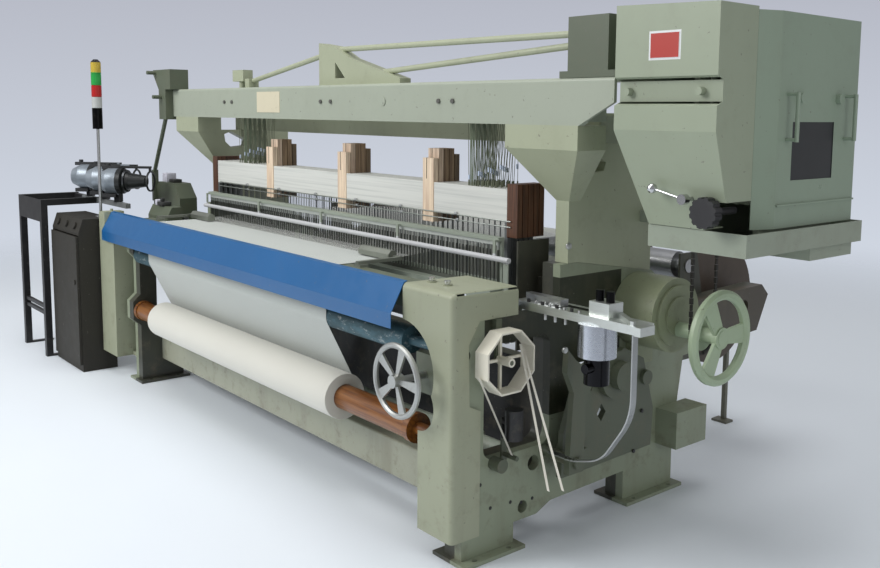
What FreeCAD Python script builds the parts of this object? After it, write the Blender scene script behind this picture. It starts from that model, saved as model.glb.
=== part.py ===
import FreeCAD, Part
import math
import os

import Sketcher

# A rapier weaving loom, in millimetres, +Z up.
# Each section works in the machine's own setting-out axes: X along the loom's width with zero at
# its middle, Y from the weaver's side to the warp beam, Z from the floor.  Every finished piece is
# then moved by the same shift, so that the origin is the middle of the floor area it stands on.

doc = FreeCAD.newDocument("PowerLoom")
sheet = doc.addObject("Spreadsheet::Sheet", "Dims")
PIECES = []
CORNERS = {}
ORIGIN_PLANES = {"X": "YZ_Plane", "Y": "XZ_Plane", "Z": "XY_Plane"}


# ---------------------------------------------------------------- sizes on the sheet

class Size:
    """A number with the formula, on the sheet's aliases, that gives it."""

    def __init__(self, number, text=None):
        self.number = float(number)
        self.text = text or f"{float(number):.6f}"

    def join(self, other, sign, number):
        return Size(number, f"({self.text} {sign} {size(other).text})")

    def __add__(self, other):
        return self.join(other, "+", self.number + size(other).number)

    def __sub__(self, other):
        return self.join(other, "-", self.number - size(other).number)

    def __mul__(self, other):
        return self.join(other, "*", self.number * size(other).number)

    def __truediv__(self, other):
        return self.join(other, "/", self.number / size(other).number)

    def __neg__(self):
        return Size(-self.number, f"(-1 * {self.text})")

    def __radd__(self, other):
        return size(other) + self

    def __rsub__(self, other):
        return size(other) - self

    def __rmul__(self, other):
        return size(other) * self

    def __float__(self):
        return self.number


def size(value):
    return value if isinstance(value, Size) else Size(value)


class Sizes:
    """The named sizes of one sub-part, each in a cell of the sheet."""

    row = 0

    def __init__(self, prefix, numbers):
        for word, number in numbers.items():
            Sizes.row += 1
            alias = f"{prefix}_{word}"
            sheet.set(f"A{Sizes.row}", alias)
            sheet.set(f"B{Sizes.row}", str(number))
            sheet.setAlias(f"B{Sizes.row}", alias)
            setattr(self, word, Size(number, "Dims." + alias))


def bind(thing, **sizes):
    """Bind properties of a document object to formulas on the sheet."""
    for name, value in sizes.items():
        setattr(thing, name, size(value).number)
        thing.setExpression(name, size(value).text)


def place(thing, x, y, z):
    """Put an object's own origin at x, y, z and remember where that is."""
    for letter, value in zip("xyz", (x, y, z)):
        thing.setExpression("Placement.Base." + letter, size(value).text)
    CORNERS[thing.Name] = (x, y, z)
    return thing


# ---------------------------------------------------------------- solids

def block(x0, x1, y0, y1, z0, z1):
    solid = doc.addObject("Part::Box", "Block")
    bind(solid, Length=size(x1) - x0, Width=size(y1) - y0, Height=size(z1) - z0)
    return place(solid, x0, y0, z0)


def rod(axis, across, radius, start, end):
    """A round bar along an axis; across gives its other two coordinates in x, y, z order."""
    solid = doc.addObject("Part::Cylinder", "Rod")
    bind(solid, Radius=radius, Height=size(end) - start)
    first, second = across
    if axis == "X":
        solid.Placement.Rotation = FreeCAD.Rotation(FreeCAD.Vector(0, 1, 0), 90)
        return place(solid, start, first, second)
    if axis == "Y":
        solid.Placement.Rotation = FreeCAD.Rotation(FreeCAD.Vector(1, 0, 0), -90)
        return place(solid, first, start, second)
    return place(solid, first, second, start)


def link_bar(ends, radius):
    """A round bar between two points in one plane square to Y, given as (x, y, z) pairs."""
    (x0, y0, z0), (x1, y1, z1) = ends
    run, rise = size(x1) - x0, size(z1) - z0
    solid = doc.addObject("Part::Cylinder", "Bar")
    bind(solid, Radius=radius)
    solid.Height = math.hypot(float(run), float(rise))
    solid.setExpression("Height", f"sqrt({run.text} ^ 2 + {rise.text} ^ 2)")
    lean = math.degrees(math.atan2(float(run), float(rise)))
    solid.Placement.Rotation = FreeCAD.Rotation(FreeCAD.Vector(0, 1, 0), lean)
    solid.setExpression("Placement.Rotation.Angle", f"atan2({run.text}; {rise.text})")
    return place(solid, x0, y0, z0)


def fuse(*solids):
    whole = doc.addObject("Part::MultiFuse", "Fused")
    whole.Shapes = list(solids)
    return whole


def cut(base, *tools):
    remains = doc.addObject("Part::Cut", "Trimmed")
    remains.Base = base
    remains.Tool = tools[0] if len(tools) == 1 else fuse(*tools)
    return remains


def group(*solids):
    """Separate solids that make one named piece, such as a set of like bolts."""
    together = doc.addObject("Part::Compound", "Group")
    together.Links = list(solids)
    return together


# ---------------------------------------------------------------- sketches and features

def new_body(name="Body"):
    return doc.addObject("PartDesign::Body", name)


def origin_item(body, role):
    return next(item for item in body.Origin.OriginFeatures if item.Role == role)


def new_sketch(body, axis, level):
    """A sketch square to an axis at a level along it."""
    sketch = body.newObject("Sketcher::SketchObject", "Sketch")
    sketch.AttachmentSupport = [(origin_item(body, ORIGIN_PLANES[axis]), "")]
    sketch.MapMode = "FlatFace"
    offset = -size(level) if axis == "Y" else size(level)
    sketch.setExpression("AttachmentOffset.Base.z", offset.text)
    return sketch


def bind_point(sketch, geometry, end, u, v):
    for kind, value in (("DistanceX", u), ("DistanceY", v)):
        row = sketch.addConstraint(Sketcher.Constraint(kind, -1, 1, geometry, end, float(value)))
        sketch.setExpression(f"Constraints[{row}]", size(value).text)


def draw_outline(sketch, points):
    """A closed outline of straight edges with every corner set from the sheet."""
    spots = [FreeCAD.Vector(float(u), float(v), 0) for u, v in points]
    first = sketch.GeometryCount
    for here, there in zip(spots, spots[1:] + spots[:1]):
        sketch.addGeometry(Part.LineSegment(here, there))
    count = len(points)
    for k, (u, v) in enumerate(points):
        after = first + (k + 1) % count
        sketch.addConstraint(Sketcher.Constraint("Coincident", first + k, 2, after, 1))
        bind_point(sketch, first + k, 1, u, v)


def draw_circle(sketch, u, v, radius):
    centre = FreeCAD.Vector(float(u), float(v), 0)
    circle = Part.Circle(centre, FreeCAD.Vector(0, 0, 1), float(radius))
    number = sketch.addGeometry(circle)
    bind_point(sketch, number, 3, u, v)
    row = sketch.addConstraint(Sketcher.Constraint("Radius", number, float(radius)))
    sketch.setExpression(f"Constraints[{row}]", size(radius).text)


def draw_all(sketch, outline, holes):
    if outline:
        draw_outline(sketch, outline)
    for hole in holes:
        if len(hole) == 3 and not isinstance(hole[0], tuple):
            draw_circle(sketch, *hole)
        else:
            draw_outline(sketch, hole)


def pad(body, axis, start, end, outline, holes=()):
    """Pad an outline along an axis from start to end."""
    sketch = new_sketch(body, axis, end if axis == "Y" else start)
    draw_all(sketch, outline, holes)
    feature = body.newObject("PartDesign::Pad", "Pad")
    feature.Profile = sketch
    bind(feature, Length=size(end) - start)
    return feature


def pocket(body, axis, start, end, outline, holes=()):
    """Cut an outline along an axis from start to end, and make sure that it did cut."""
    doc.recompute()
    before = body.Shape.Volume
    sketch = new_sketch(body, axis, start if axis == "Y" else end)
    draw_all(sketch, outline, holes)
    feature = body.newObject("PartDesign::Pocket", "Pocket")
    feature.Profile = sketch
    bind(feature, Length=size(end) - start)
    doc.recompute()
    if body.Shape.Volume >= before - 1:
        raise ValueError(f"a pocket of {body.Name} cuts nothing")
    return feature


def edges_along(shape, axis, corners):
    """Names of the straight edges along an axis that pass through the given corners."""
    number = "XYZ".index(axis)
    others = [k for k in range(3) if k != number]
    names = []
    for k, edge in enumerate(shape.Edges, 1):
        if len(edge.Vertexes) != 2:
            continue
        a, b = edge.Vertexes[0].Point, edge.Vertexes[1].Point
        if any(abs(a[o] - b[o]) > 0.01 for o in others):
            continue
        for u, v in corners:
            if abs(a[others[0]] - float(u)) < 0.5 and abs(a[others[1]] - float(v)) < 0.5:
                names.append(f"Edge{k}")
    return names


def round_corners(body, axis, radius, corners):
    """Round the edges along an axis that stand on the given corners of the outline."""
    doc.recompute()
    base = body.Tip
    names = edges_along(base.Shape, axis, corners)
    if not names:
        raise ValueError(f"no edges to round on {body.Name}")
    fillet = body.newObject("PartDesign::Fillet", "Fillet")
    fillet.Base = (base, names)
    bind(fillet, Radius=radius)
    doc.recompute()
    return fillet


def prism(axis, start, end, outline, holes=(), rounds=()):
    """A body padded from one outline; rounds lists (radius, corners) to be rounded."""
    body = new_body()
    pad(body, axis, start, end, outline, holes)
    for radius, corners in rounds:
        round_corners(body, axis, radius, corners)
    return body


def turned(axis, profile, body=None):
    """Revolve a profile of (along, out) points about an axis through the body's origin."""
    body = body or new_body()
    flat = "Y" if axis == "Z" else "Z"
    sketch = new_sketch(body, flat, 0)
    across = axis != "X"
    draw_outline(sketch, [(out, along) if across else (along, out) for along, out in profile])
    feature = body.newObject("PartDesign::Revolution", "Revolution")
    feature.Profile = sketch
    feature.ReferenceAxis = (sketch, ["V_Axis" if across else "H_Axis"])
    feature.Angle = 360
    return body


def repeat_round(body, feature, axis, count):
    pattern = body.newObject("PartDesign::PolarPattern", "Pattern")
    pattern.Originals = [feature]
    pattern.Axis = (origin_item(body, axis + "_Axis"), [""])
    pattern.Angle = 360
    pattern.Occurrences = count
    body.Tip = pattern
    return pattern


def flared(foot, low, head, high):
    """A flat-sided casting that widens upwards between two (x0, x1, y0, y1) rectangles."""
    solid = doc.addObject("Part::Wedge", "Flare")
    bind(solid, Xmin=foot[0], Xmax=foot[1], Zmin=-size(foot[3]), Zmax=-size(foot[2]), Ymin=low,
         Ymax=high, X2min=head[0], X2max=head[1], Z2min=-size(head[3]), Z2max=-size(head[2]))
    solid.Placement.Rotation = FreeCAD.Rotation(FreeCAD.Vector(1, 0, 0), 90)
    return place(solid, 0, 0, 0)


def box_outline(u0, u1, v0, v1):
    return [(u0, v0), (u1, v0), (u1, v1), (u0, v1)]


def ribbon(axis, start, end, path, thick, bends):
    """A bent strip: path is its line in the plane square to the axis, bends its corner radii."""
    def spot(u, v):
        if axis == "X":
            return FreeCAD.Vector(float(start), float(u), float(v))
        return FreeCAD.Vector(float(u), float(start), float(v))

    spots = [spot(u, v) for u, v in path]
    edges = []
    here = spots[0]
    for before, corner, after, bend in zip(spots, spots[1:], spots[2:], bends):
        inward = (before - corner).normalize()
        onward = (after - corner).normalize()
        half = inward.getAngle(onward) / 2
        reach = float(bend) / math.tan(half)
        centre_way = (inward + onward).normalize()
        middle = corner + centre_way * (float(bend) / math.sin(half) - float(bend))
        near, far = corner + inward * reach, corner + onward * reach
        edges.append(Part.LineSegment(here, near).toShape())
        edges.append(Part.Arc(near, middle, far).toShape())
        here = far
    edges.append(Part.LineSegment(here, spots[-1]).toShape())
    band = Part.Wire(edges).makeOffset2D(float(thick), 0, True, True, False)
    face = Part.Face(band) if band.ShapeType == "Wire" else band
    width = float(size(end) - start)
    way = FreeCAD.Vector(width, 0, 0) if axis == "X" else FreeCAD.Vector(0, width, 0)
    thing = doc.addObject("Part::Feature", "Ribbon")
    thing.Shape = face.extrude(way)
    CORNERS[thing.Name] = (size(0), size(0), size(0))
    return thing


# ---------------------------------------------------------------- setting out

LOOM = {
    "frame_out": 1538, "frame_in": 1443, "wall_in": 1470, "stand_left": 2900, "stand_front": 200,
    "dobby_right": 2395, "rear_end": 2210, "fell": 362, "sley_pivot_y": 420, "sley_pivot_z": 300,
    "shaft_y": 1000, "shaft_z": 776, "beam_y": 1790, "beam_z": 730, "roll_y": 75, "roll_z": 438,
}
loom = Sizes("loom", LOOM)
shift_x = (loom.stand_left - loom.dobby_right) / 2
shift_y = (loom.stand_front - loom.rear_end) / 2


def piece(label, solid, at=None):
    """Name a finished piece and move it to the loom's own origin."""
    x, y, z = at or CORNERS.get(solid.Name, (size(0), size(0), size(0)))
    place(solid, x + shift_x, y + shift_y, z)
    solid.Label = label
    PIECES.append(solid)
    return solid


CLOTH = {
    "left": 1200, "right": 700, "level": 988, "thick": 1.5, "edge_bend": 24, "roller": 52,
    "roller_y": 80, "roller_z": 770, "roller_left": 1430, "roller_right": 1225, "gap": 0.6,
    "roll": 98, "roll_left": 1120, "roll_right": 762, "tube": 52, "tube_bore": 44,
    "tube_left": 1395, "tube_right": 1240, "journal": 24.95, "chuck": 58, "chuck_long": 30,
    "journal_end": 1465, "roller_journal": 19.95,
}
cloth = Sizes("cloth", CLOTH)

HEALD = {
    "count": 5, "front": 500, "pitch": 30, "thick": 20, "half": 1288, "rail_low": 1192,
    "rail_high": 1322, "low": 700, "sill": 745, "stile": 18, "wires": 36, "wire": 2.4,
    "wire_deep": 3, "block_wide": 74, "block_low": 1150, "block_one": 675, "block_two": 50,
    "block_three": 740, "proud": 3, "outer_low": 1425, "inner_high": 1466, "last_high": 1440,
    "end_in": 1292, "end_out": 1346, "end_low": 1134, "end_high": 1345, "rope": 1.4,
    "rope_pitch": 8, "ropes": 4, "rope_top": 1655,
}
heald = Sizes("heald", HEALD)


# ---------------------------------------------------------------- frame castings

SIDE = {
    "front": 66, "foot_back": 320, "arch_rise": 92, "arch_back": 440, "step_y": 515, "step_z": 126,
    "belly": 137, "rear_foot": 947, "rear_foot_back": 1270, "heel": 210, "rear_rise": 1330,
    "arm_end": 1985, "arm_low": 570, "arm_high": 820, "arm_root": 800, "arm_toe": 1900,
    "arm_toe_z": 602, "arm_tip_z": 767, "arm_bevel": 1930, "waist_y": 1090, "waist_z": 976,
    "crown_y": 640, "crown_z": 1050, "crown_front": 545, "breast_z": 900, "breast_front": 30,
    "breast_low": 780, "web": 25, "rim": 28, "eye": 24, "eye_y": 366, "eye_z": 140, "flange": 14,
    "flange_out": 44, "door_front": 165, "door_back": 500, "door_low": 365, "door_high": 790,
    "gap_front": 620, "gap_back": 930, "gap_low": 250, "gap_high": 650, "bore": 30, "bolt": 11,
    "lug": 53, "step": 40, "roll_bore": 25, "roller_bore": 20, "corner": 45, "box_out": 1650,
    "box_front": 1152, "box_back": 1360, "box_low": 212, "box_high": 370,
}
side = Sizes("side", SIDE)

WARP = {
    "left": 1200, "right": 700, "flange_left": 1232, "flange_right": 745, "flange": 330,
    "flange_thick": 14, "barrel": 95, "wound": 240, "gear": 300, "gear_x": 1350, "gear_thick": 22,
    "journal": 29.95, "journal_end": 1500, "rest": 60, "rest_y": 1460, "rest_z": 945,
    "rest_left": 1400, "rest_end": 1460, "rest_journal": 29.95, "thick": 1.5, "gap": 0.8,
    "fore": 665, "leg_x": 1180, "leg_y": 2190, "leg": 11, "leg_high": 430, "leg_foot": 45,
    "leg_out": 20,
}
warp = Sizes("warp", WARP)

GUIDE = {
    "near": 1357, "thick": 8, "front": 486, "back": 655, "low": 690, "high": 1125, "foot": 60,
    "rail_left": 1498, "rail_right": 2075, "rail_front": 348, "rail_back": 441, "rail_low": 905,
    "rail_high": 935, "rail_slot": 8, "end": 26, "rear_left": 1622, "rear_right": 1789,
    "rear_back": 470, "clamp_left": 1850, "clamp_right": 1940, "clamp_front": 368,
    "clamp_high": 984, "knob": 15, "knob_one": 1871, "knob_two": 1918, "knob_y": 400,
    "knob_high": 1022, "end_front": 339, "end_back": 412, "slip": 14, "slip_end": 2062,
    "left_out": 2000, "head_long": 190, "head_low": 937, "head_high": 962, "head_front": 372,
    "head_back": 412, "head_start": 1520, "nose": 60,
}
guide = Sizes("guide", GUIDE)


def back_rest_bracket(near, far):
    """The arm that holds one end of the back rest."""
    return prism("X", near, far, [
        (warp.rest_y - warp.rest, side.arm_root - side.corner),
        (warp.rest_y + warp.rest * 2, side.arm_root - side.corner),
        (warp.rest_y + warp.rest, warp.rest_z + warp.rest),
        (warp.rest_y - warp.rest, warp.rest_z + warp.rest)],
        [(warp.rest_y, warp.rest_z, warp.rest_journal + 0.05)])


def heald_post(side_way):
    """The slotted post inside a side frame that keeps the heald frames upright."""
    near, far = side_way * guide.near, side_way * (loom.frame_in + 1)
    x0, x1 = (near, near + guide.thick) if side_way > 0 else (near - guide.thick, near)
    parts = [block(x0, x1, guide.front, guide.back, guide.low, guide.high)]
    for z in (guide.low, side.waist_z - guide.foot):
        start, end = (x0 + 1, far) if side_way > 0 else (far, x1 - 1)
        parts.append(block(start, end, guide.back - guide.foot, guide.back, z, z + guide.foot))
    return fuse(*parts)


def oil_box():
    """The cast oil box on the outside of the right side frame."""
    return block(loom.frame_out - 1, side.box_out, side.box_front, side.box_back, side.box_low,
                 side.box_high)


def side_frame(label, near, far, side_way):
    """One cast side of the loom: feet, arched underside, windows and a rear arm for the beam."""
    outline = [
        (side.front, 0), (side.foot_back, 0), (side.foot_back, side.arch_rise),
        (side.arch_back, side.arch_rise), (side.step_y, side.step_z),
        (side.rear_foot, side.belly), (side.rear_foot, 0), (side.rear_foot_back, 0),
        (side.rear_foot_back, side.heel), (side.rear_rise, side.arm_low),
        (side.arm_toe, side.arm_toe_z), (side.arm_end, side.arm_tip_z),
        (side.arm_bevel, side.arm_high),
        (side.rear_rise, side.arm_root), (side.waist_y, side.waist_z),
        (side.crown_y, side.crown_z), (side.crown_front, side.crown_z),
        (side.crown_front, side.breast_z), (side.breast_front, side.breast_z),
        (side.breast_front, side.breast_low), (side.front, side.breast_low - side.step),
        (side.front, loom.roll_z + side.lug + side.step),
        (loom.roll_y - side.lug, loom.roll_z + side.lug),
        (loom.roll_y - side.lug, loom.roll_z - side.lug),
        (side.front, loom.roll_z - side.lug - side.step),
    ]
    front_window = box_outline(side.door_front, side.door_back, side.door_low, side.door_high)
    rear_window = box_outline(side.gap_front, side.gap_back, side.gap_low, side.gap_high)
    holes = [
        front_window, rear_window, (side.eye_y, side.eye_z, side.eye),
        (loom.shaft_y, loom.shaft_z, side.bore), (loom.sley_pivot_y, loom.sley_pivot_z, side.bore),
        (loom.beam_y, loom.beam_z, side.bore), (loom.roll_y, loom.roll_z, side.roll_bore),
        (cloth.roller_y, cloth.roller_z, side.roller_bore),
    ]
    body = new_body()
    pad(body, "X", near, far, outline, holes)
    round_corners(body, "X", side.corner, front_window + rear_window)
    hollow_from = near if side_way > 0 else near + side.web
    hollow_to = far - side.web if side_way > 0 else far
    rear_hollow = [
        (side.gap_back + side.rim * 2, side.belly + side.rim * 2),
        (side.rear_foot_back - side.rim, side.heel + side.rim),
        (side.rear_rise - side.rim * 1.6, side.arm_low),
        (side.rear_rise - side.rim * 1.6, loom.shaft_z - side.rim * 4),
        (side.gap_back + side.rim * 2, loom.shaft_z - side.rim * 4),
    ]
    arm_hollow = [
        (side.rear_rise + side.rim, side.arm_low + side.rim * 1.3),
        (loom.beam_y - side.rim * 3, side.arm_low + side.rim * 2.6),
        (loom.beam_y - side.rim * 3, side.arm_high - side.rim * 1.4),
        (side.rear_rise + side.rim, side.arm_root - side.rim),
    ]
    pocket(body, "X", hollow_from, hollow_to, rear_hollow)
    pocket(body, "X", hollow_from, hollow_to, arm_hollow)
    out = side.flange_out
    flanges = []
    for foot_front, foot_back in ((side.front, side.foot_back), (side.rear_foot, side.rear_foot_back)):
        plate = prism("Z", 0, side.flange,
                      box_outline(near - out, far + out, foot_front - out / 2, foot_back + out / 2),
                      [(near - out / 2, foot_front + out, side.bolt),
                       (far + out / 2, foot_front + out, side.bolt),
                       (near - out / 2, foot_back - out, side.bolt),
                       (far + out / 2, foot_back - out, side.bolt)])
        flanges.append(plate)
    inner = near if side_way > 0 else far - warp.leg
    bracket = back_rest_bracket(inner, inner + warp.leg)
    extras = [bracket, heald_post(side_way)]
    if side_way > 0:
        extras.append(oil_box())
    return piece(label, fuse(body, *flanges, *extras))


side_frame("right_side_frame", loom.frame_in, loom.frame_out, 1)
side_frame("left_side_frame", -loom.frame_out, -loom.frame_in, -1)

CROSS = {
    "front": 190, "back": 265, "low": 122, "high": 280, "wall": 10, "rear_front": 1130,
    "rear_back": 1210, "rear_low": 300, "rear_high": 420, "corner": 8, "girt_front": 555,
    "girt_low": 150, "girt_high": 640,
}
cross = Sizes("cross", CROSS)


def front_cross_beam():
    """A folded channel between the side frames, open to the back."""
    outline = [
        (cross.front, cross.low), (cross.back, cross.low), (cross.back, cross.low + cross.wall),
        (cross.front + cross.wall, cross.low + cross.wall),
        (cross.front + cross.wall, cross.high - cross.wall),
        (cross.back, cross.high - cross.wall), (cross.back, cross.high), (cross.front, cross.high),
    ]
    corners = [(cross.front, cross.low), (cross.front, cross.high)]
    body = prism("X", -loom.frame_in, loom.frame_in, outline, rounds=[(cross.corner, corners)])
    return piece("front_cross_beam", body)


def rear_supports():
    """The hollow rear cross beam with the slim leg behind it, and the girt under the healds."""
    solid = block(-loom.frame_in, loom.frame_in, cross.rear_front, cross.rear_back,
                  cross.rear_low, cross.rear_high)
    hollow = block(-loom.frame_in, loom.frame_in, cross.rear_front + cross.wall,
                   cross.rear_back - cross.wall, cross.rear_low + cross.wall,
                   cross.rear_high - cross.wall)
    leg = block(warp.leg_x - warp.leg, warp.leg_x + warp.leg, warp.leg_y - warp.leg,
                warp.leg_y + warp.leg, 0, warp.leg_high)
    foot = block(warp.leg_x - warp.leg_foot, warp.leg_x + warp.leg_foot, warp.leg_y - warp.leg_foot,
                 warp.leg_y + warp.leg_out, 0, warp.leg)
    strut = block(warp.leg_x - warp.leg, warp.leg_x + warp.leg, cross.rear_back - 1, warp.leg_y,
                  cross.rear_high - warp.leg * 2, cross.rear_high)
    girt = block(-loom.frame_in, loom.frame_in, cross.girt_front, cross.girt_front + cross.wall,
                 cross.girt_low, cross.girt_high)
    return piece("rear_supports", group(fuse(cut(solid, hollow), leg, foot, strut), girt))


front_cross_beam()
rear_supports()

ARCH = {
    "front": 585, "back": 1080, "foot": 1051, "step": 978, "top": 1500, "hole_front": 633,
    "hole_back": 789, "hole_low": 1392, "hole_high": 1491, "hole_in": 45, "hole_drop": 35,
    "plate_front": 450, "plate_back": 600, "neck": 1290, "knee": 1490, "head": 1579,
    "neck_back": 650, "right_inner": 1320, "right_outer": 1701, "left_inner": 1440,
    "left_outer": 1760,
}
arch = Sizes("arch", ARCH)


def side_arch(label, near, far, low_x, high_x):
    """The wall that stands on a side frame, with the bracket that carries the front top beam."""
    wall_outline = [
        (arch.front, arch.foot), (side.crown_y, arch.foot), (arch.back, arch.step),
        (arch.back, arch.top), (arch.front, arch.top),
    ]
    see_through = [
        (arch.hole_front, arch.hole_high - arch.hole_drop / 2),
        (arch.hole_front + arch.hole_in, arch.hole_high),
        (arch.hole_back, arch.hole_high - arch.hole_drop * 1.6),
        (arch.hole_back - arch.hole_in / 4, arch.hole_low + arch.hole_drop / 4),
        (arch.hole_front + arch.hole_in, arch.hole_low),
        (arch.hole_front + arch.hole_in / 6, arch.hole_low + arch.hole_drop),
    ]
    wall = prism("X", near, far, wall_outline, [see_through])
    bracket = flared((near, far, arch.front, arch.neck_back), arch.neck,
                     (low_x, high_x, arch.plate_front, arch.plate_back), arch.knee)
    head = block(low_x, high_x, arch.plate_front, arch.plate_back, arch.knee, arch.head)
    return piece(label, fuse(wall, bracket, head))


side_arch("right_arch", loom.wall_in, loom.frame_out, arch.right_inner, arch.right_outer)
side_arch("left_arch", -loom.frame_out, -loom.wall_in, -arch.left_outer, -arch.left_inner)

BEAM = {
    "left": 1800, "right": 1866, "slant": 165, "rise": 83, "high": 1748, "deep": 150, "wall": 14,
    "bolt": 11, "bolt_out": 7, "row_one": 1028, "row_two": 22, "row_three": 955, "pair": 46,
    "bolt_z": 1668, "disc_x": 505, "disc": 20, "plate_left": 683, "plate_right": 433,
    "plate_low": 1612, "plate_high": 1722, "plate_thick": 2, "rear_front": 745, "rear_back": 865,
    "rear_high": 1625, "drum": 38, "drum_back": 655, "drum_z": 1665, "wire_left": 955,
    "wire_right": 1045,
}
beam = Sizes("beam", BEAM)


def beam_bolts():
    """The paired hexagon bolts on the front of the top beam."""
    bolts = []
    for middle in (-beam.row_one, beam.row_two, beam.row_three):
        for x in (middle - beam.pair, middle + beam.pair):
            hexagon = [(x + beam.bolt * math.cos(math.radians(60 * k)),
                        beam.bolt_z + beam.bolt * math.sin(math.radians(60 * k)))
                       for k in range(6)]
            bolts.append(prism("Y", arch.plate_front - beam.bolt_out, arch.plate_front + 1, hexagon))
    return bolts


def wire_drums():
    """The drums behind the beam's front wall that the lifting wires of the healds run over."""
    reach = heald.rope_pitch * heald.ropes + beam.drum
    return [rod("Y", (x + reach, beam.drum_z), beam.drum, arch.plate_front + beam.wall - 1,
                beam.drum_back)
            for x in (-beam.wire_left, beam.wire_right)]


def top_beam_front():
    """The long cast channel over the healds, open below and behind for the lifting wires."""
    front, back = arch.plate_front, arch.plate_front + beam.deep
    outline = [
        (front, arch.head), (front + beam.wall * 2, arch.head),
        (front + beam.wall * 2, arch.head + beam.wall), (front + beam.wall, arch.head + beam.wall),
        (front + beam.wall, beam.high - beam.wall), (back, beam.high - beam.wall),
        (back, beam.high), (front, beam.high),
    ]
    channel = prism("X", -beam.left, beam.right, outline,
                    rounds=[(beam.wall * 0.9, [(front, beam.high)])])
    end_plates = [block(start, start + beam.wall, front + beam.wall, back, arch.head + beam.wall,
                        beam.high - beam.wall)
                  for start in (-beam.left, beam.right - beam.slant - beam.wall)]
    slant = prism("Y", front - 1, back + 1, [
        (beam.right - beam.slant, arch.head - 1), (beam.right + 1, arch.head - 1),
        (beam.right + 1, arch.head + beam.rise)])
    badge_plate = block(-beam.plate_left, -beam.plate_right, front - beam.plate_thick, front + 1,
                        beam.plate_low, beam.plate_high)
    disc = rod("Y", (beam.disc_x, beam.bolt_z), beam.disc, front - beam.plate_thick * 2, front + 1)
    whole = fuse(channel, *end_plates, badge_plate, disc, *beam_bolts(), *wire_drums())
    return piece("top_beam_front", cut(whole, slant))


def top_beam_rear():
    solid = block(-loom.frame_out, loom.frame_out, beam.rear_front, beam.rear_back, arch.top,
                  beam.rear_high)
    hollow = block(-loom.wall_in, loom.wall_in, beam.rear_front + beam.wall,
                   beam.rear_back - beam.wall, arch.top + beam.wall, beam.rear_high - beam.wall)
    ties = [block(x - beam.wall, x, arch.plate_front + beam.deep, beam.rear_front,
                  arch.head + beam.wall, beam.rear_high)
            for x in (-loom.wall_in, size(0), loom.wall_in)]
    return piece("top_beam_rear", fuse(cut(solid, hollow), *ties))


top_beam_front()
top_beam_rear()

STAY = {
    "front": 500, "thick": 60, "left": 120, "top": 1958, "notch": 20, "top_right": 1938, "mid": 161,
    "mid_z": 1875, "right": 565, "right_z": 1772, "inner": 28, "inner_right": 116,
    "inner_low": 1782, "inner_high": 1860, "bar": 13, "low_x": 882, "low_z": 1786, "high_z": 1900,
    "long_end": 1639, "long_low": 1932, "long_high": 1909, "second_x": 329, "second_z": 1800,
    "second_high": 1870, "stub_left": 1070, "stub_right": 940, "stub_high": 1850, "post": 12,
}
stay = Sizes("stay", STAY)


def stay_bars():
    """The cast stay on the beam's middle and the tie bars that run from it to both ends."""
    y0, y1 = stay.front, stay.front + stay.thick
    bracket = prism("Y", y0, y1, [
        (-stay.left, beam.high), (stay.right, beam.high), (stay.right, stay.right_z),
        (stay.mid, stay.mid_z), (stay.notch, stay.top_right), (-stay.left, stay.top)],
        [[(stay.inner, stay.inner_low), (stay.inner_right, stay.inner_low),
          (stay.inner, stay.inner_high)]])
    middle = y0 + stay.thick / 2
    bars = [
        link_bar([(-stay.low_x, middle, stay.low_z), (-stay.left + 1, middle, stay.high_z)], stay.bar),
        link_bar([(stay.notch - 5, middle, stay.long_low - 10),
                  (stay.long_end, middle, stay.long_high)], stay.bar),
        link_bar([(stay.second_x, middle, stay.second_z),
                  (stay.long_end, middle, stay.second_high)], stay.bar),
    ]
    foot = block(-stay.low_x - stay.post * 3, -stay.low_x + stay.post, y0, y1, beam.high,
                 stay.low_z + stay.bar)
    stub = block(-stay.stub_left, -stay.stub_right, y0, y1, stay.low_z, stay.stub_high)
    post = rod("Z", ((-stay.stub_left - stay.stub_right) / 2, middle), stay.post * 1.6, beam.high,
               stay.low_z + 1)
    return piece("stay_bars", group(fuse(bracket, *bars, foot), fuse(stub, post)))


stay_bars()

BREAST = {
    "left": 1753, "right": 1250, "lip": 40, "lip_low": 833, "fold": 890, "top_y": 23, "top_z": 1003,
    "sheet": 2, "turn": 14, "beam_front": 30, "beam_back": 150, "beam_low": 905, "beam_high": 985,
    "beam_wall": 8, "beam_round": 20, "bracket": 6, "bracket_left": 1300, "bracket_mid": 760,
    "bracket_right": 1180,
}
breast = Sizes("breast", BREAST)


def breast_cover():
    """The long folded sheet-steel cover over the cloth's turning edge, and its end plates."""
    t = breast.sheet
    outline = [
        (-breast.lip, breast.lip_low), (-breast.lip, breast.fold), (breast.top_y - 3, breast.top_z - 4),
        (breast.top_y + breast.turn, breast.top_z + 1), (breast.top_y + breast.turn, breast.top_z - 1),
        (breast.top_y - 1, breast.top_z - 7), (t - breast.lip, breast.fold - 1),
        (t - breast.lip, breast.lip_low),
    ]
    web = [(t - breast.lip - 1, breast.lip_low + breast.lip), (breast.beam_front, breast.beam_low),
           (breast.beam_front, breast.beam_high - breast.turn), (t - breast.lip - 1, breast.fold - t)]
    brackets = [prism("X", x, x + breast.bracket, web)
                for x in (-breast.bracket_left, breast.bracket_mid, breast.bracket_right)]
    return piece("breast_cover", fuse(prism("X", -breast.left, breast.right, outline), *brackets))


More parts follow.
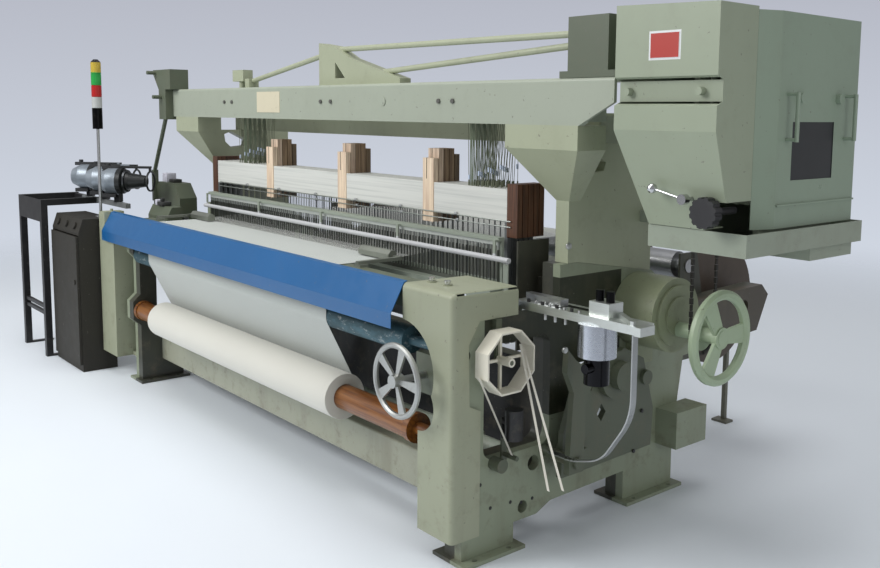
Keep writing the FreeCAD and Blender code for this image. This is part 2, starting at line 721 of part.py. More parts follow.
def breast_beam():
    solid = prism("X", -loom.frame_in, loom.frame_in,
                  box_outline(breast.beam_front, breast.beam_back, breast.beam_low,
                              breast.beam_high),
                  rounds=[(breast.beam_round, [(breast.beam_front, breast.beam_high)])])
    hollow = block(-loom.frame_in, loom.frame_in, breast.beam_front + breast.beam_wall,
                   breast.beam_back - breast.beam_wall, breast.beam_low + breast.beam_wall,
                   breast.beam_high - breast.beam_wall)
    return piece("breast_beam", cut(solid, hollow))


breast_cover()
breast_beam()

GUARD = {
    "left": 1257, "low_left": 1350, "front": 10, "low": 93, "high": 1000, "sheet": 3, "back": 142,
    "arm_back": 320, "arm_low": 890, "waist": 561, "rise_y": 84, "rise_z": 810, "cut_z": 680,
    "cut": 185, "cut_x": 1257, "top_round": 22,
}
guard = Sizes("guard", GUARD)


BUTTON = {
    "start_x": 1300, "stop_x": 1392, "y": 112, "cap": 13, "cap_out": 9, "travel": 4, "ring": 19,
    "ring_out": 3, "stem": 8, "stem_long": 16,
}
button = Sizes("button", BUTTON)


def upright_edges(shape, x, y_limit):
    """Names of the edges in the face at x that stand up along its front."""
    names = []
    for k, edge in enumerate(shape.Edges, 1):
        spots = [v.Point for v in edge.Vertexes]
        if len(spots) == 2 and all(abs(p.x - float(x)) < 0.5 for p in spots) \
                and all(p.y < float(y_limit) for p in spots):
            names.append(f"Edge{k}")
    return names


def right_front_cover():
    """The pressed cover of the right front corner: front wall, side wall, top and cut-out."""
    out = loom.frame_out + guard.front
    shell = new_body()
    pad(shell, "X", guard.left, out, [
        (guard.front, guard.low), (guard.back, guard.low), (guard.back, guard.waist),
        (guard.rise_y + 6, guard.waist + 25), (guard.rise_y, guard.rise_z),
        (guard.back - 8, guard.arm_low), (guard.arm_back, guard.arm_low),
        (guard.arm_back, guard.high - 6), (guard.front, guard.high)])
    round_corners(shell, "X", guard.top_round, [(guard.front, guard.high)])
    rounded = shell.Tip
    fillet = shell.newObject("PartDesign::Fillet", "Fillet")
    fillet.Base = (rounded, upright_edges(rounded.Shape, out, guard.front + guard.top_round + 1))
    bind(fillet, Radius=guard.top_round * 0.9)
    doc.recompute()
    t = guard.sheet
    inner = prism("X", guard.left - 1, out - t, [
        (guard.front + guard.top_round, guard.low - 1), (guard.arm_back + 1, guard.low - 1),
        (guard.arm_back + 1, guard.high - t - 6),
        (guard.front + guard.top_round, guard.high - t - 1)])
    nose = prism("X", guard.left - 1, out - guard.top_round, [
        (guard.front + t, guard.low - 1), (guard.front + guard.top_round + 1, guard.low - 1),
        (guard.front + guard.top_round + 1, guard.high - t - 1),
        (guard.front + guard.top_round * 0.7, guard.high - t - 3),
        (guard.front + t, guard.high - guard.top_round)])
    elbow = prism("Z", guard.low - 1, guard.high - guard.top_round, [
        (out - guard.top_round * 1.5, guard.front + t), (out - guard.top_round, guard.front + t),
        (out - guard.top_round * 0.5, guard.front + t * 2.3), (out - t, guard.front + t * 5),
        (out - t, guard.front + guard.top_round * 1.5),
        (out - guard.top_round * 1.5, guard.front + guard.top_round * 1.5)])
    left_gap = block(guard.left - 1, guard.low_left, guard.front - 1, guard.arm_back, guard.low - 1,
                     guard.cut_z)
    mouth = rod("Y", (guard.cut_x, guard.cut_z), guard.cut, guard.front - 5, guard.front + 30)
    low_mouth = rod("Y", (guard.low_left, guard.cut_z - 120), guard.cut - 92, guard.front - 5,
                    guard.front + 30)
    rings = [rod("Z", (x, button.y), button.ring, guard.high - t * 2, guard.high + button.ring_out)
             for x in (button.start_x, button.stop_x)]
    holes = [rod("Z", (x, button.y), button.stem + 0.5, guard.high - t * 4, guard.high + t * 4)
             for x in (button.start_x, button.stop_x)]
    pressed = cut(shell, inner, nose, elbow, left_gap, mouth, low_mouth)
    return piece("right_front_cover", cut(fuse(pressed, *rings), *holes))


right_front_cover()

CAP = {
    "outer": 1850, "inner": 1615, "front": 20, "back": 100, "low": 130, "high": 1000, "step": 826,
    "notch": 1756, "sheet": 3, "switch": 9, "switch_x": 1800, "switch_y": 40, "switch_out": 14,
}
cap = Sizes("cap", CAP)


def left_front_cover():
    """The cover of the left front corner, open behind, notched under the long cover."""
    outline = [
        (-cap.outer, cap.low), (-cap.inner, cap.low), (-cap.inner, cap.step),
        (-cap.notch, cap.step), (-cap.notch, cap.high), (-cap.outer, cap.high),
    ]
    shell = prism("Y", -cap.front, cap.back, outline,
                  rounds=[(cap.sheet * 5, [(-cap.outer, cap.high)])])
    t = cap.sheet
    inner = prism("Y", t - cap.front, cap.back + 1, [
        (t - cap.outer, cap.low + t), (-cap.inner - t, cap.low + t), (-cap.inner - t, cap.step - t),
        (-cap.notch - t, cap.step - t), (-cap.notch - t, cap.high - t * 5),
        (t * 5 - cap.outer, cap.high - t * 5), (t - cap.outer, cap.high - t * 5)])
    switch = rod("Z", (-cap.switch_x, cap.switch_y), cap.switch, cap.high - t * 5,
                 cap.high + cap.switch_out)
    tie = block(-cap.inner - t, -loom.frame_out, cap.back - t * 8, cap.back, cap.low, cap.low + t * 8)
    tie_top = block(-cap.inner - t, -loom.frame_out, cap.back - t * 8, cap.back, cap.step - t * 8,
                    cap.step)
    return piece("left_front_cover", fuse(cut(shell, inner), switch, tie, tie_top))


left_front_cover()

BOX = {
    "left": 2370, "right": 1870, "front": 140, "back": 70, "high": 950, "wall": 4, "brow_y": 112,
    "brow_z": 868, "plinth": 45, "door_gap": 6, "door": 3, "door_high": 850, "door_rim": 16,
    "hinge": 5, "hinge_low": 140, "hinge_high": 700, "hinge_tall": 70, "lock": 14, "lock_z": 560,
    "dial": 22, "dial_out": 12, "plate": 6, "unit_wide": 130, "unit_high": 180, "unit_deep": 90,
    "unit_gap": 40, "pole_x": 1990, "pole_y": 40, "pole": 9, "pole_high": 1627, "pole_foot": 32,
    "lamp": 30, "lamp_foot": 129, "lamp_base": 1627, "lamp_tall": 70.25, "lamp_seam": 2,
    "lamp_cap": 17,
}
box = Sizes("box", BOX)


def control_cabinet():
    """The electric cabinet: folded casing with a sloping brow, dials and the units inside."""
    outline = [
        (-box.front, 0), (box.back, 0), (box.back, box.high), (-box.brow_y, box.high),
        (-box.front, box.brow_z),
    ]
    casing = prism("X", -box.left, -box.right, outline)
    w = box.wall
    inside = prism("X", w - box.left, -box.right - w, [
        (-box.front - 1, box.plinth), (box.back - w, box.plinth), (box.back - w, box.high - w),
        (-box.brow_y, box.high - w), (w - box.front, box.brow_z), (w - box.front, box.door_high),
        (-box.front - 1, box.door_high)])
    dials = []
    for k in range(3):
        dial = doc.addObject("Part::Cylinder", "Dial")
        bind(dial, Radius=box.dial, Height=box.dial_out)
        dial.Placement.Rotation = FreeCAD.Rotation(FreeCAD.Vector(1, 0, 0), 70)
        dials.append(place(dial, -box.left + 100 + box.dial * 7 * k, -box.front + w * 3,
                           box.brow_z + w * 9))
    plate = block(w * 8 - box.left, -box.right - w * 8, box.back - w - box.plate * 3,
                  box.back - w + 1, box.plinth * 2, box.door_high - box.plinth)
    units = []
    for column in range(2):
        for row in range(3):
            x = w * 16 - box.left + (box.unit_wide + box.unit_gap) * column
            z = box.plinth * 3 + (box.unit_high + box.unit_gap) * row
            units.append(block(x, x + box.unit_wide, box.back - box.unit_deep, box.back - box.plate * 2,
                               z, z + box.unit_high))
    knuckles = [rod("Z", (-box.left + box.door_gap, -box.front - box.hinge), box.hinge,
                    z - box.hinge_tall / 2, z - 0.5)
                for z in (box.hinge_low, box.hinge_high)]
    leaves = [block(-box.left, -box.left + box.door_gap, -box.front - box.hinge, w - box.front,
                    z - box.hinge_tall / 2, z - 0.5)
              for z in (box.hinge_low, box.hinge_high)]
    return piece("control_cabinet", fuse(cut(casing, inside), *dials, plate, *units, *knuckles, *leaves))


def cabinet_door():
    """The folded door with its rim, its hinge knuckles and a quarter-turn lock."""
    left, right = box.door_gap * 3 - box.left, -box.right - box.door_gap
    front = -box.front - box.door_rim
    low, high = box.plinth, box.door_high - box.door_gap
    panel = block(left, right, front, -box.front - 0.5, low, high)
    hollow = block(left + box.door, right - box.door, front + box.door, -box.front, low + box.door,
                   high - box.door)
    lock = rod("Y", (right - box.lock * 3, box.lock_z), box.lock, front - box.lock / 2, front + 1)
    pin_x, pin_y = -box.left + box.door_gap, -box.front - box.hinge
    knuckles = [rod("Z", (pin_x, pin_y), box.hinge, z + 0.5, z + box.hinge_tall / 2)
                for z in (box.hinge_low, box.hinge_high)]
    leaves = [block(pin_x, left + 1, front + box.door, pin_y + box.hinge - 1, z + 0.5,
                    z + box.hinge_tall / 2)
              for z in (box.hinge_low, box.hinge_high)]
    return piece("cabinet_door", fuse(cut(panel, hollow), lock, *knuckles, *leaves))


def signal_pole():
    foot = rod("Z", (-box.pole_x, box.pole_y), box.pole_foot, box.high, box.high + box.wall * 2)
    pole = rod("Z", (-box.pole_x, box.pole_y), box.pole, box.high, box.pole_high)
    foot_low = box.pole_high - box.lamp_foot
    base = rod("Z", (-box.pole_x, box.pole_y), box.lamp, foot_low, box.pole_high)
    return piece("signal_pole", fuse(foot, pole, base))


def signal_lamps():
    """Four stacked lamps with seams between them and a domed cap on top."""
    lamps = []
    for k in range(5):
        low = box.lamp_base + box.lamp_tall * k
        high = low + box.lamp_tall - box.lamp_seam
        profile = [(low, 0), (low, box.lamp), (high, box.lamp), (high, 0)]
        if k == 4:
            high = low + box.lamp_cap
            profile = [(low, 0), (low, box.lamp), (high, box.lamp - box.lamp_cap), (high, 0)]
        core = rod("Z", (0, 0), box.lamp - 4, high, high + box.lamp_seam) if k < 4 else None
        lamp = turned("Z", profile)
        lamps.append(fuse(lamp, core) if core else lamp)
    whole = fuse(*lamps)
    return piece("signal_lamps", whole, (-box.pole_x, box.pole_y, 0))


control_cabinet()
cabinet_door()
signal_pole()
signal_lamps()

STAND = {
    "right": 2395, "post": 40, "front": 200, "high": 1035, "plate_low": 890, "plate_thick": 4,
    "bar_low": 270, "bar_pitch": 42, "bar": 22, "foot": 90, "foot_thick": 8, "arm_back": 188,
    "rail": 30, "rail_z": 1000, "rail_right": 1880,
}
stand = Sizes("stand", STAND)


def feeder_stand():
    """The welded stand beside the cabinet, with the rail that carries the weft feeders."""
    left, right = -loom.stand_left, -stand.right
    y0, y1 = -stand.front, stand.post - stand.front
    parts = []
    for x in (left, right - stand.post):
        parts.append(block(x, x + stand.post, y0, y1, 0, stand.high))
        parts.append(block(x, x + stand.post, y0, y0 + stand.foot * 2, 0, stand.foot_thick))
        parts.append(block(x, x + stand.post, y0, stand.arm_back, stand.high - stand.post, stand.high))
    parts.append(block(left, right, y0, y0 + stand.plate_thick, stand.plate_low, stand.high))
    for k in range(2):
        z = stand.bar_low + stand.bar_pitch * k
        parts.append(block(left, right, y0 + stand.bar / 2, y0 + stand.bar * 1.5, z, z + stand.bar))
    parts.append(block(left, -stand.rail_right, stand.arm_back - stand.rail, stand.arm_back,
                       stand.rail_z, stand.rail_z + stand.rail))
    return piece("feeder_stand", fuse(*parts))


feeder_stand()

FEEDER = {
    "x_one": 2520, "x_two": 2230, "x_three": 2000, "line": 215, "height": 1165, "casing": 82,
    "casing_low": 170, "casing_high": 20, "nose": 55, "disc": 74, "disc_thick": 10, "shaft": 9,
    "drum": 52, "drum_long": 120, "lip": 8, "ring": 66, "ring_wide": 10, "ring_at": 150, "arm": 12,
    "arm_up": 84, "clamp": 22, "turn": 45,
}
feeder = Sizes("feeder", FEEDER)
FEEDER_SPOTS = [(-x, feeder.line) for x in (feeder.x_one, feeder.x_two, feeder.x_three)]


def turn_about_z(solid, angle):
    solid.Placement.Rotation = FreeCAD.Rotation(FreeCAD.Vector(0, 0, 1), float(angle))
    solid.setExpression("Placement.Rotation.Angle", size(angle).text)
    return solid


def feeder_casing(x, y):
    """One weft feeder: motor casing, shaft, yarn drum, eye ring on its arm, and a clamp."""
    casing = turned("X", [
        (-feeder.casing_low, 0), (-feeder.casing_low, feeder.nose),
        (-feeder.casing_low + feeder.nose, feeder.casing), (-feeder.casing_high, feeder.casing),
        (-feeder.disc_thick / 2 - 2, feeder.nose), (-feeder.disc_thick / 2 - 2, 0)])
    gap = feeder.disc_thick / 2 + 2
    shaft = rod("X", (0, 0), feeder.shaft, -gap - 1, gap + 1)
    drum = turned("X", [
        (gap, 0), (gap, feeder.drum + feeder.lip), (gap + feeder.lip * 2, feeder.drum),
        (gap + feeder.drum_long, feeder.drum - feeder.lip * 2), (gap + feeder.drum_long, 0)])
    ring = turned("X", [
        (feeder.ring_at, feeder.ring - 8), (feeder.ring_at + feeder.ring_wide, feeder.ring - 8),
        (feeder.ring_at + feeder.ring_wide, feeder.ring), (feeder.ring_at, feeder.ring)])
    arm = block(-feeder.casing_high - 30, feeder.ring_at + feeder.ring_wide, -feeder.arm, feeder.arm,
                feeder.arm_up, feeder.arm_up + feeder.arm)
    risers = [block(at, at + feeder.ring_wide, -feeder.arm / 2, feeder.arm / 2, low, feeder.arm_up + 1)
              for at, low in ((-feeder.casing_high - 30, feeder.casing - 6),
                              (feeder.ring_at, feeder.ring - 4))]
    clamp = block(-feeder.casing_high - 60, -feeder.casing_high - 20, -feeder.clamp, feeder.clamp,
                  stand.rail_z + stand.rail - feeder.height, -feeder.casing + 6)
    whole = fuse(casing, shaft, drum, ring, arm, *risers, clamp)
    return place(turn_about_z(whole, feeder.turn), x, y, feeder.height)


def feeder_disc(number, x, y):
    """The spinning disc between casing and drum that lays the yarn on the drum."""
    half = feeder.disc_thick / 2
    disc = turned("X", [(-half, feeder.shaft + 0.05), (-half, feeder.disc), (half, feeder.disc - 3),
                        (half, feeder.shaft + 0.05)])
    turn_about_z(disc, feeder.turn)
    return piece(f"feeder_disc_{number}", disc, (x, y, feeder.height))


piece("weft_feeders", group(*[feeder_casing(x, y) for x, y in FEEDER_SPOTS]))
for feeder_number, (feeder_x, feeder_y) in enumerate(FEEDER_SPOTS, 1):
    feeder_disc(feeder_number, feeder_x, feeder_y)


# ---------------------------------------------------------------- cloth side


def woven_cloth():
    """The cloth from the fell over the breast, round the take-up roller and down to the roll."""
    near = float(cloth.roller + cloth.gap + cloth.thick)
    far = float(cloth.roll + cloth.gap)
    dy = float(loom.roll_y - cloth.roller_y)
    dz = float(loom.roll_z - cloth.roller_z)
    lean = math.asin((near + far) / math.hypot(dy, dz)) + math.atan2(dy, -dz)
    front = float(cloth.roller_y) - near
    corner_z = float(cloth.roller_z) - near * math.tan(lean / 2)
    end_y = float(loom.roll_y) + far * math.cos(lean)
    end_z = float(loom.roll_z) + far * math.sin(lean)
    path = [(loom.fell, cloth.level), (front, cloth.level), (front, corner_z), (end_y, end_z)]
    web = ribbon("X", -cloth.left, cloth.right, path, -float(cloth.thick),
                 [cloth.edge_bend, cloth.roller + cloth.gap + cloth.thick])
    return piece("woven_cloth", web)


def cloth_roll():
    profile = [
        (-cloth.roll_left, cloth.tube), (-cloth.roll_left, cloth.roll), (cloth.roll_right, cloth.roll),
        (cloth.roll_right, cloth.tube)]
    return piece("cloth_roll", turned("X", profile), (0, loom.roll_y, loom.roll_z))


def cloth_beam():
    """The varnished tube that the cloth is wound on, with a chuck and a journal at each end."""
    tube = turned("X", [
        (-cloth.tube_left, cloth.tube_bore), (-cloth.tube_left, cloth.tube),
        (cloth.tube_right, cloth.tube), (cloth.tube_right, cloth.tube_bore)])
    chucks = [rod("X", (0, 0), cloth.chuck, start, start + cloth.chuck_long)
              for start in (-cloth.tube_left - cloth.chuck_long, cloth.tube_right)]
    journals = [rod("X", (0, 0), cloth.journal, -cloth.journal_end, -cloth.tube_left - 1),
                rod("X", (0, 0), cloth.journal, cloth.tube_right + 1, cloth.journal_end)]
    return piece("cloth_beam", fuse(tube, *chucks, *journals), (0, loom.roll_y, loom.roll_z))


def take_up_roller():
    """The covered roller that draws the cloth forward."""
    body = turned("X", [
        (-cloth.journal_end, 0), (-cloth.journal_end, cloth.roller_journal),
        (-cloth.roller_left, cloth.roller_journal), (-cloth.roller_left, cloth.roller),
        (cloth.roller_right, cloth.roller), (cloth.roller_right, cloth.roller_journal),
        (cloth.journal_end, cloth.roller_journal), (cloth.journal_end, 0)])
    return piece("take_up_roller", body, (0, cloth.roller_y, cloth.roller_z))


woven_cloth()
cloth_roll()
cloth_beam()
take_up_roller()

WHEEL = {
    "hub": 24, "hub_long": 44, "rim": 11, "small": 140, "small_x": 1329, "small_y": 70,
    "small_z": 661, "small_shaft": 13, "small_shaft_end": 150, "spoke_root": 7, "spoke_tip": 20,
    "spoke_thick": 9, "big": 187, "big_x": 1950, "big_rim": 20, "big_hub": 42, "big_hub_long": 26,
    "big_spoke": 26, "big_spoke_tip": 40, "big_spoke_thick": 14, "shaft": 29.95, "shaft_end": 1965,
    "sprocket_x": 1868, "sprocket": 64, "sprocket_thick": 8, "cam": 95, "cam_x": 1120,
    "cam_thick": 36, "cam_off": 22,
}
wheel = Sizes("wheel", WHEEL)


def round_section(radius, out, sides):
    """A cast bar's section with small flats all round, its middle at a distance from the axis."""
    turns = [math.radians(360 / sides * (k + 0.5)) for k in range(sides)]
    return [(radius * math.sin(turn), out + radius * math.cos(turn)) for turn in turns]


def spoke_wheel(axis, radius, rim, hub, hub_long, spokes, root, tip, thick):
    """A cast hand wheel: round rim, hub and spokes that widen outwards."""
    body = turned(axis, round_section(rim, size(radius) - rim, 8))
    half = size(hub_long) / 2
    pad(body, axis, -half, half, [], [(0, 0, hub)])
    reach = size(radius) - size(rim) * 1.2
    start = size(hub) * 0.6
    outline = [(start, -size(root)), (reach, -size(tip)), (reach, tip), (start, root)]
    spoke = pad(body, axis, -size(thick) / 2, size(thick) / 2, outline)
    repeat_round(body, spoke, axis, spokes)
    return body


def take_up_handwheel():
    rim = spoke_wheel("Y", wheel.small, wheel.rim, wheel.hub, wheel.hub_long, 5, wheel.spoke_root,
                      wheel.spoke_tip, wheel.spoke_thick)
    shaft = rod("Y", (0, 0), wheel.small_shaft, 0, wheel.small_shaft_end)
    return piece("take_up_handwheel", fuse(rim, shaft),
                 (wheel.small_x, -wheel.small_y, wheel.small_z))


def main_shaft():
    """The driving shaft across the loom with its two beat-up cams, sprocket and hand wheel."""
    shaft = rod("X", (0, 0), wheel.shaft, -loom.frame_out - 10, wheel.shaft_end)
    rim = spoke_wheel("X", wheel.big, wheel.big_rim, wheel.big_hub, wheel.big_hub_long, 3,
                      wheel.big_spoke, wheel.big_spoke_tip, wheel.big_spoke_thick)
    place(rim, wheel.big_x, 0, 0)
    sprocket = rod("X", (0, 0), wheel.sprocket, wheel.sprocket_x - wheel.sprocket_thick / 2,
                   wheel.sprocket_x + wheel.sprocket_thick / 2)
    cams = [rod("X", (0, wheel.cam_off), wheel.cam, x, x + wheel.cam_thick)
            for x in (-wheel.cam_x - wheel.cam_thick, wheel.cam_x)]
    return piece("main_shaft", fuse(shaft, rim, sprocket, *cams), (0, loom.shaft_y, loom.shaft_z))


take_up_handwheel()
main_shaft()

GEAR = {
    "left": 1275, "right": 1395, "front": 60, "back": 160, "low": 590, "high": 740, "bore": 13.05,
    "wall": 20, "drum_far": 1740, "drum": 150, "drum_up": 52, "drum_bore": 30.05, "ring": 122,
    "ring_far": 1752, "lug": 60, "cover": 78, "cover_far": 1760, "foot": 45, "foot_low": 600,
    "foot_high": 700,
}
gear = Sizes("gear", GEAR)


def take_up_case():
    """The gear case behind the small hand wheel, bolted to the right side frame."""
    case = block(gear.left, gear.right, gear.front, gear.back, gear.low, gear.high)
    bore = rod("Y", (wheel.small_x, wheel.small_z), gear.bore, gear.front - 1,
               gear.back - gear.wall + 1)
    bracket = block(gear.right - 1, loom.frame_in, gear.back - gear.wall * 3, gear.back, gear.low,
                    gear.low + gear.wall * 3)
    return piece("take_up_gear_case", fuse(cut(case, bore), bracket))


def clutch_drum():
    """The round housing of clutch and brake over the driving shaft, on its bracket."""
    drum = place(turned("X", [
        (loom.frame_out, 0), (loom.frame_out, gear.drum), (gear.drum_far, gear.drum),
        (gear.drum_far, gear.ring), (gear.ring_far, gear.ring), (gear.ring_far, gear.cover),
        (gear.cover_far, gear.cover), (gear.cover_far, 0)]), 0, 0, gear.drum_up)
    foot = block(loom.frame_out, loom.frame_out + gear.foot, -gear.lug, gear.lug,
                 gear.foot_low - loom.shaft_z, gear.foot_high - loom.shaft_z)
    bore = rod("X", (0, 0), gear.drum_bore, loom.frame_out - 1, gear.cover_far + 1)
    return piece("clutch_drum", cut(fuse(drum, foot), bore), (0, loom.shaft_y, loom.shaft_z))


take_up_case()
clutch_drum()

CHAIN = {
    "top": 1360, "ring": 70, "pitch": 25.4, "link": 23, "high": 12, "wide": 11,
}
chain = Sizes("chain", CHAIN)


def chain_path(distance, straight, radius):
    """Place and lean on the closed chain loop, starting at the front run's foot."""
    arc = math.pi * radius
    lap = 2 * (straight + arc)
    along = distance % lap
    if along < straight:
        return -radius, along, 90.0
    along -= straight
    if along < arc:
        angle = math.pi - along / radius
        return radius * math.cos(angle), straight + radius * math.sin(angle), math.degrees(angle) - 90
    along -= arc
    if along < straight:
        return radius, straight - along, -90.0
    along -= straight
    angle = -along / radius
    return radius * math.cos(angle), radius * math.sin(angle), math.degrees(angle) - 90


def dobby_chain():
    """The closed roller chain from the driving shaft up to the dobby, link by link."""
    straight = float(chain.top - loom.shaft_z)
    radius = float(chain.ring + chain.high / 2)
    lap = 2 * (straight + math.pi * radius)
    count = round(lap / float(chain.pitch))
    links = []
    for k in range(count):
        y, z, lean = chain_path(lap * (k + 0.5) / count, straight, radius)
        wide = float(chain.wide) * (1.0 if k % 2 else 0.62)
        link = Part.makeBox(wide, float(chain.link), float(chain.high),
                            FreeCAD.Vector(-wide / 2, -float(chain.link) / 2, -float(chain.high) / 2))
        link.rotate(FreeCAD.Vector(), FreeCAD.Vector(1, 0, 0), lean)
        link.translate(FreeCAD.Vector(0, y, z))
        links.append(link)
    thing = doc.addObject("Part::Feature", "Chain")
    thing.Shape = Part.makeCompound(links)
    return piece("dobby_chain", thing, (wheel.sprocket_x, loom.shaft_y, loom.shaft_z))


def dobby_sprocket():
    """The upper chain wheel on the dobby's own shaft."""
    disc = rod("X", (0, 0), wheel.sprocket, wheel.sprocket_x - wheel.sprocket_thick / 2,
               wheel.sprocket_x + wheel.sprocket_thick / 2)
    stub = rod("X", (0, 0), wheel.hub - 4.05, wheel.sprocket_x - wheel.sprocket_thick * 2,
               wheel.sprocket_x + wheel.big)
    return piece("dobby_sprocket", fuse(disc, stub), (0, loom.shaft_y, chain.top))


dobby_chain()
dobby_sprocket()


# ---------------------------------------------------------------- warp side


def warp_beam():
    """The yarn beam: barrel, two flanges, the wound warp between them and the let-off wheel."""
    w = warp
    body = turned("X", [
        (-w.journal_end, 0), (-w.journal_end, w.journal), (-w.gear_x - w.gear_thick, w.journal),
        (-w.gear_x - w.gear_thick, w.barrel), (-w.flange_left - w.flange_thick, w.barrel),
        (-w.flange_left - w.flange_thick, w.flange), (-w.flange_left, w.flange),
        (-w.flange_left, w.wound), (w.flange_right, w.wound), (w.flange_right, w.flange),
        (w.flange_right + w.flange_thick, w.flange), (w.flange_right + w.flange_thick, w.barrel),
        (w.gear_x, w.barrel), (w.gear_x, w.gear), (w.gear_x + w.gear_thick, w.gear),
        (w.gear_x + w.gear_thick, w.journal), (w.journal_end, w.journal), (w.journal_end, 0)])
    return piece("warp_beam", body, (0, loom.beam_y, loom.beam_z))


def back_rest():
    """The roller that turns the warp from the beam towards the healds."""
    body = turned("X", [
        (-warp.rest_end, 0), (-warp.rest_end, warp.rest_journal),
        (-warp.rest_left, warp.rest_journal), (-warp.rest_left, warp.rest),
        (warp.rest_left, warp.rest), (warp.rest_left, warp.rest_journal),
        (warp.rest_end, warp.rest_journal), (warp.rest_end, 0)])
    return piece("back_rest", body, (0, warp.rest_y, warp.rest_z))


def warp_sheet():
    """The sheet of warp threads from the beam over the back rest to behind the healds."""
    near = float(warp.rest + warp.gap + warp.thick)
    far = float(warp.wound + warp.gap)
    dy = float(loom.beam_y - warp.rest_y)
    dz = float(loom.beam_z - warp.rest_z)
    reach = math.hypot(dy, dz)
    fall = math.atan2(-dz, dy)
    spread = math.asin((far - near) / reach)
    slope = fall - spread
    top_y = float(loom.beam_y) + far * math.sin(slope)
    top_z = float(loom.beam_z) + far * math.cos(slope)
    level = float(warp.rest_z) + near
    corner_y = float(warp.rest_y) + near * math.tan(slope / 2)
    path = [(warp.fore, level), (corner_y, level), (top_y, top_z)]
    web = ribbon("X", -warp.left, warp.right, path, -float(warp.thick), [warp.rest + warp.gap])
    return piece("warp_sheet", web)


warp_beam()
back_rest()
warp_sheet()


# ---------------------------------------------------------------- sley, reed and healds

SLEY = {
    "half": 1300, "shaft": 29.95, "shaft_end": 1480, "front": 400, "back": 472, "low": 895,
    "high": 930, "leg_x": 1180, "leg_wide": 46, "leg_deep": 40, "boss": 46, "reed_front": 450,
    "reed_back": 460, "reed_high": 1120, "cap_high": 1136, "cap_front": 441, "bar_y": 420,
    "bar_z": 1057, "bar": 11, "bar_left": 1300, "bar_right": 1385, "strap": 14, "strap_front": 428,
    "strap_thick": 5, "post_pitch": 645, "reed_low": 930, "baulk": 16, "dent": 2, "dents": 121,
    "dent_front": 452, "dent_back": 458, "reed_half": 1285,
}
sley = Sizes("sley", SLEY)


def sley_beam():
    """The swinging sley: rocking shaft, three swords, race board, reed cap and hand rail."""
    pivot_y, pivot_z = loom.sley_pivot_y, loom.sley_pivot_z
    shaft = rod("X", (pivot_y, pivot_z), sley.shaft, -sley.shaft_end, sley.shaft_end)
    parts = [shaft, block(-sley.half, sley.half, sley.front, sley.back, sley.low, sley.high)]
    for middle in (-sley.leg_x, size(0), sley.leg_x):
        x0, x1 = middle - sley.leg_wide / 2, middle + sley.leg_wide / 2
        sword = prism("X", x0, x1, [
            (pivot_y - sley.boss * 0.8, pivot_z), (pivot_y + sley.boss * 0.8, pivot_z),
            (pivot_y + sley.leg_deep / 2, sley.low + 1), (pivot_y - sley.leg_deep / 2, sley.low + 1)])
        parts.append(sword)
        parts.append(rod("X", (pivot_y, pivot_z), sley.boss, x0 - 8, x1 + 8))
    parts.append(block(-sley.half, sley.half, sley.reed_back + 0.5, sley.back, sley.high - 1,
                       sley.high + sley.baulk * 2))
    for x in (-sley.half, sley.half - sley.strap):
        parts.append(block(x, x + sley.strap, sley.reed_back + 0.5, sley.back, sley.high,
                           sley.cap_high))
    parts.append(block(-sley.half, sley.half, sley.cap_front, sley.back, sley.reed_high + 0.5,
                       sley.cap_high))
    parts.append(rod("X", (sley.bar_y, sley.bar_z), sley.bar, -sley.bar_left, sley.bar_right))
    for k in range(5):
        x = (k - 2) * sley.post_pitch - sley.strap / 2
        parts.append(block(x, x + sley.strap, sley.strap_front - 2, sley.strap_front + sley.strap_thick,
                           sley.bar_z, sley.reed_high + sley.baulk / 2))
        parts.append(block(x, x + sley.strap, sley.strap_front, sley.cap_front + 2,
                           sley.reed_high + 1, sley.reed_high + sley.baulk / 2))
    strap_x = sley.bar_right - sley.strap * 3
    parts.append(block(strap_x, strap_x + sley.strap * 2, sley.strap_front, sley.strap_front
                       + sley.strap_thick, sley.low - sley.baulk, sley.bar_z))
    parts.append(block(sley.half - 1, strap_x + sley.strap * 2, sley.strap_front,
                       sley.back, sley.low - sley.baulk, sley.low + sley.baulk))
    return piece("sley", fuse(*parts))


def reed():
    """The reed: two baulks and a row of flat dents with a gap between each pair."""
    body = new_body()
    r = sley
    pad(body, "Y", r.reed_front, r.reed_back,
        box_outline(-r.reed_half, r.reed_half, r.reed_low, r.reed_high),
        [box_outline(r.dent - r.reed_half, r.reed_half - r.dent, r.reed_low + r.baulk,
                     r.reed_high - r.baulk)])
    pitch = (r.reed_half * 2 - r.dent * 2) / (r.dents - 1)
    first = -r.reed_half + pitch
    dent = pad(body, "Y", r.dent_front, r.dent_back,
               box_outline(first, first + r.dent, r.reed_low + r.baulk - 1,
                           r.reed_high - r.baulk + 1))
    row = body.newObject("PartDesign::LinearPattern", "Dents")
    row.Originals = [dent]
    row.Direction = (origin_item(body, "X_Axis"), [""])
    bind(row, Length=pitch * (r.dents - 3))
    row.Occurrences = int(float(r.dents)) - 2
    body.Tip = row
    return piece("reed", body)


sley_beam()
reed()


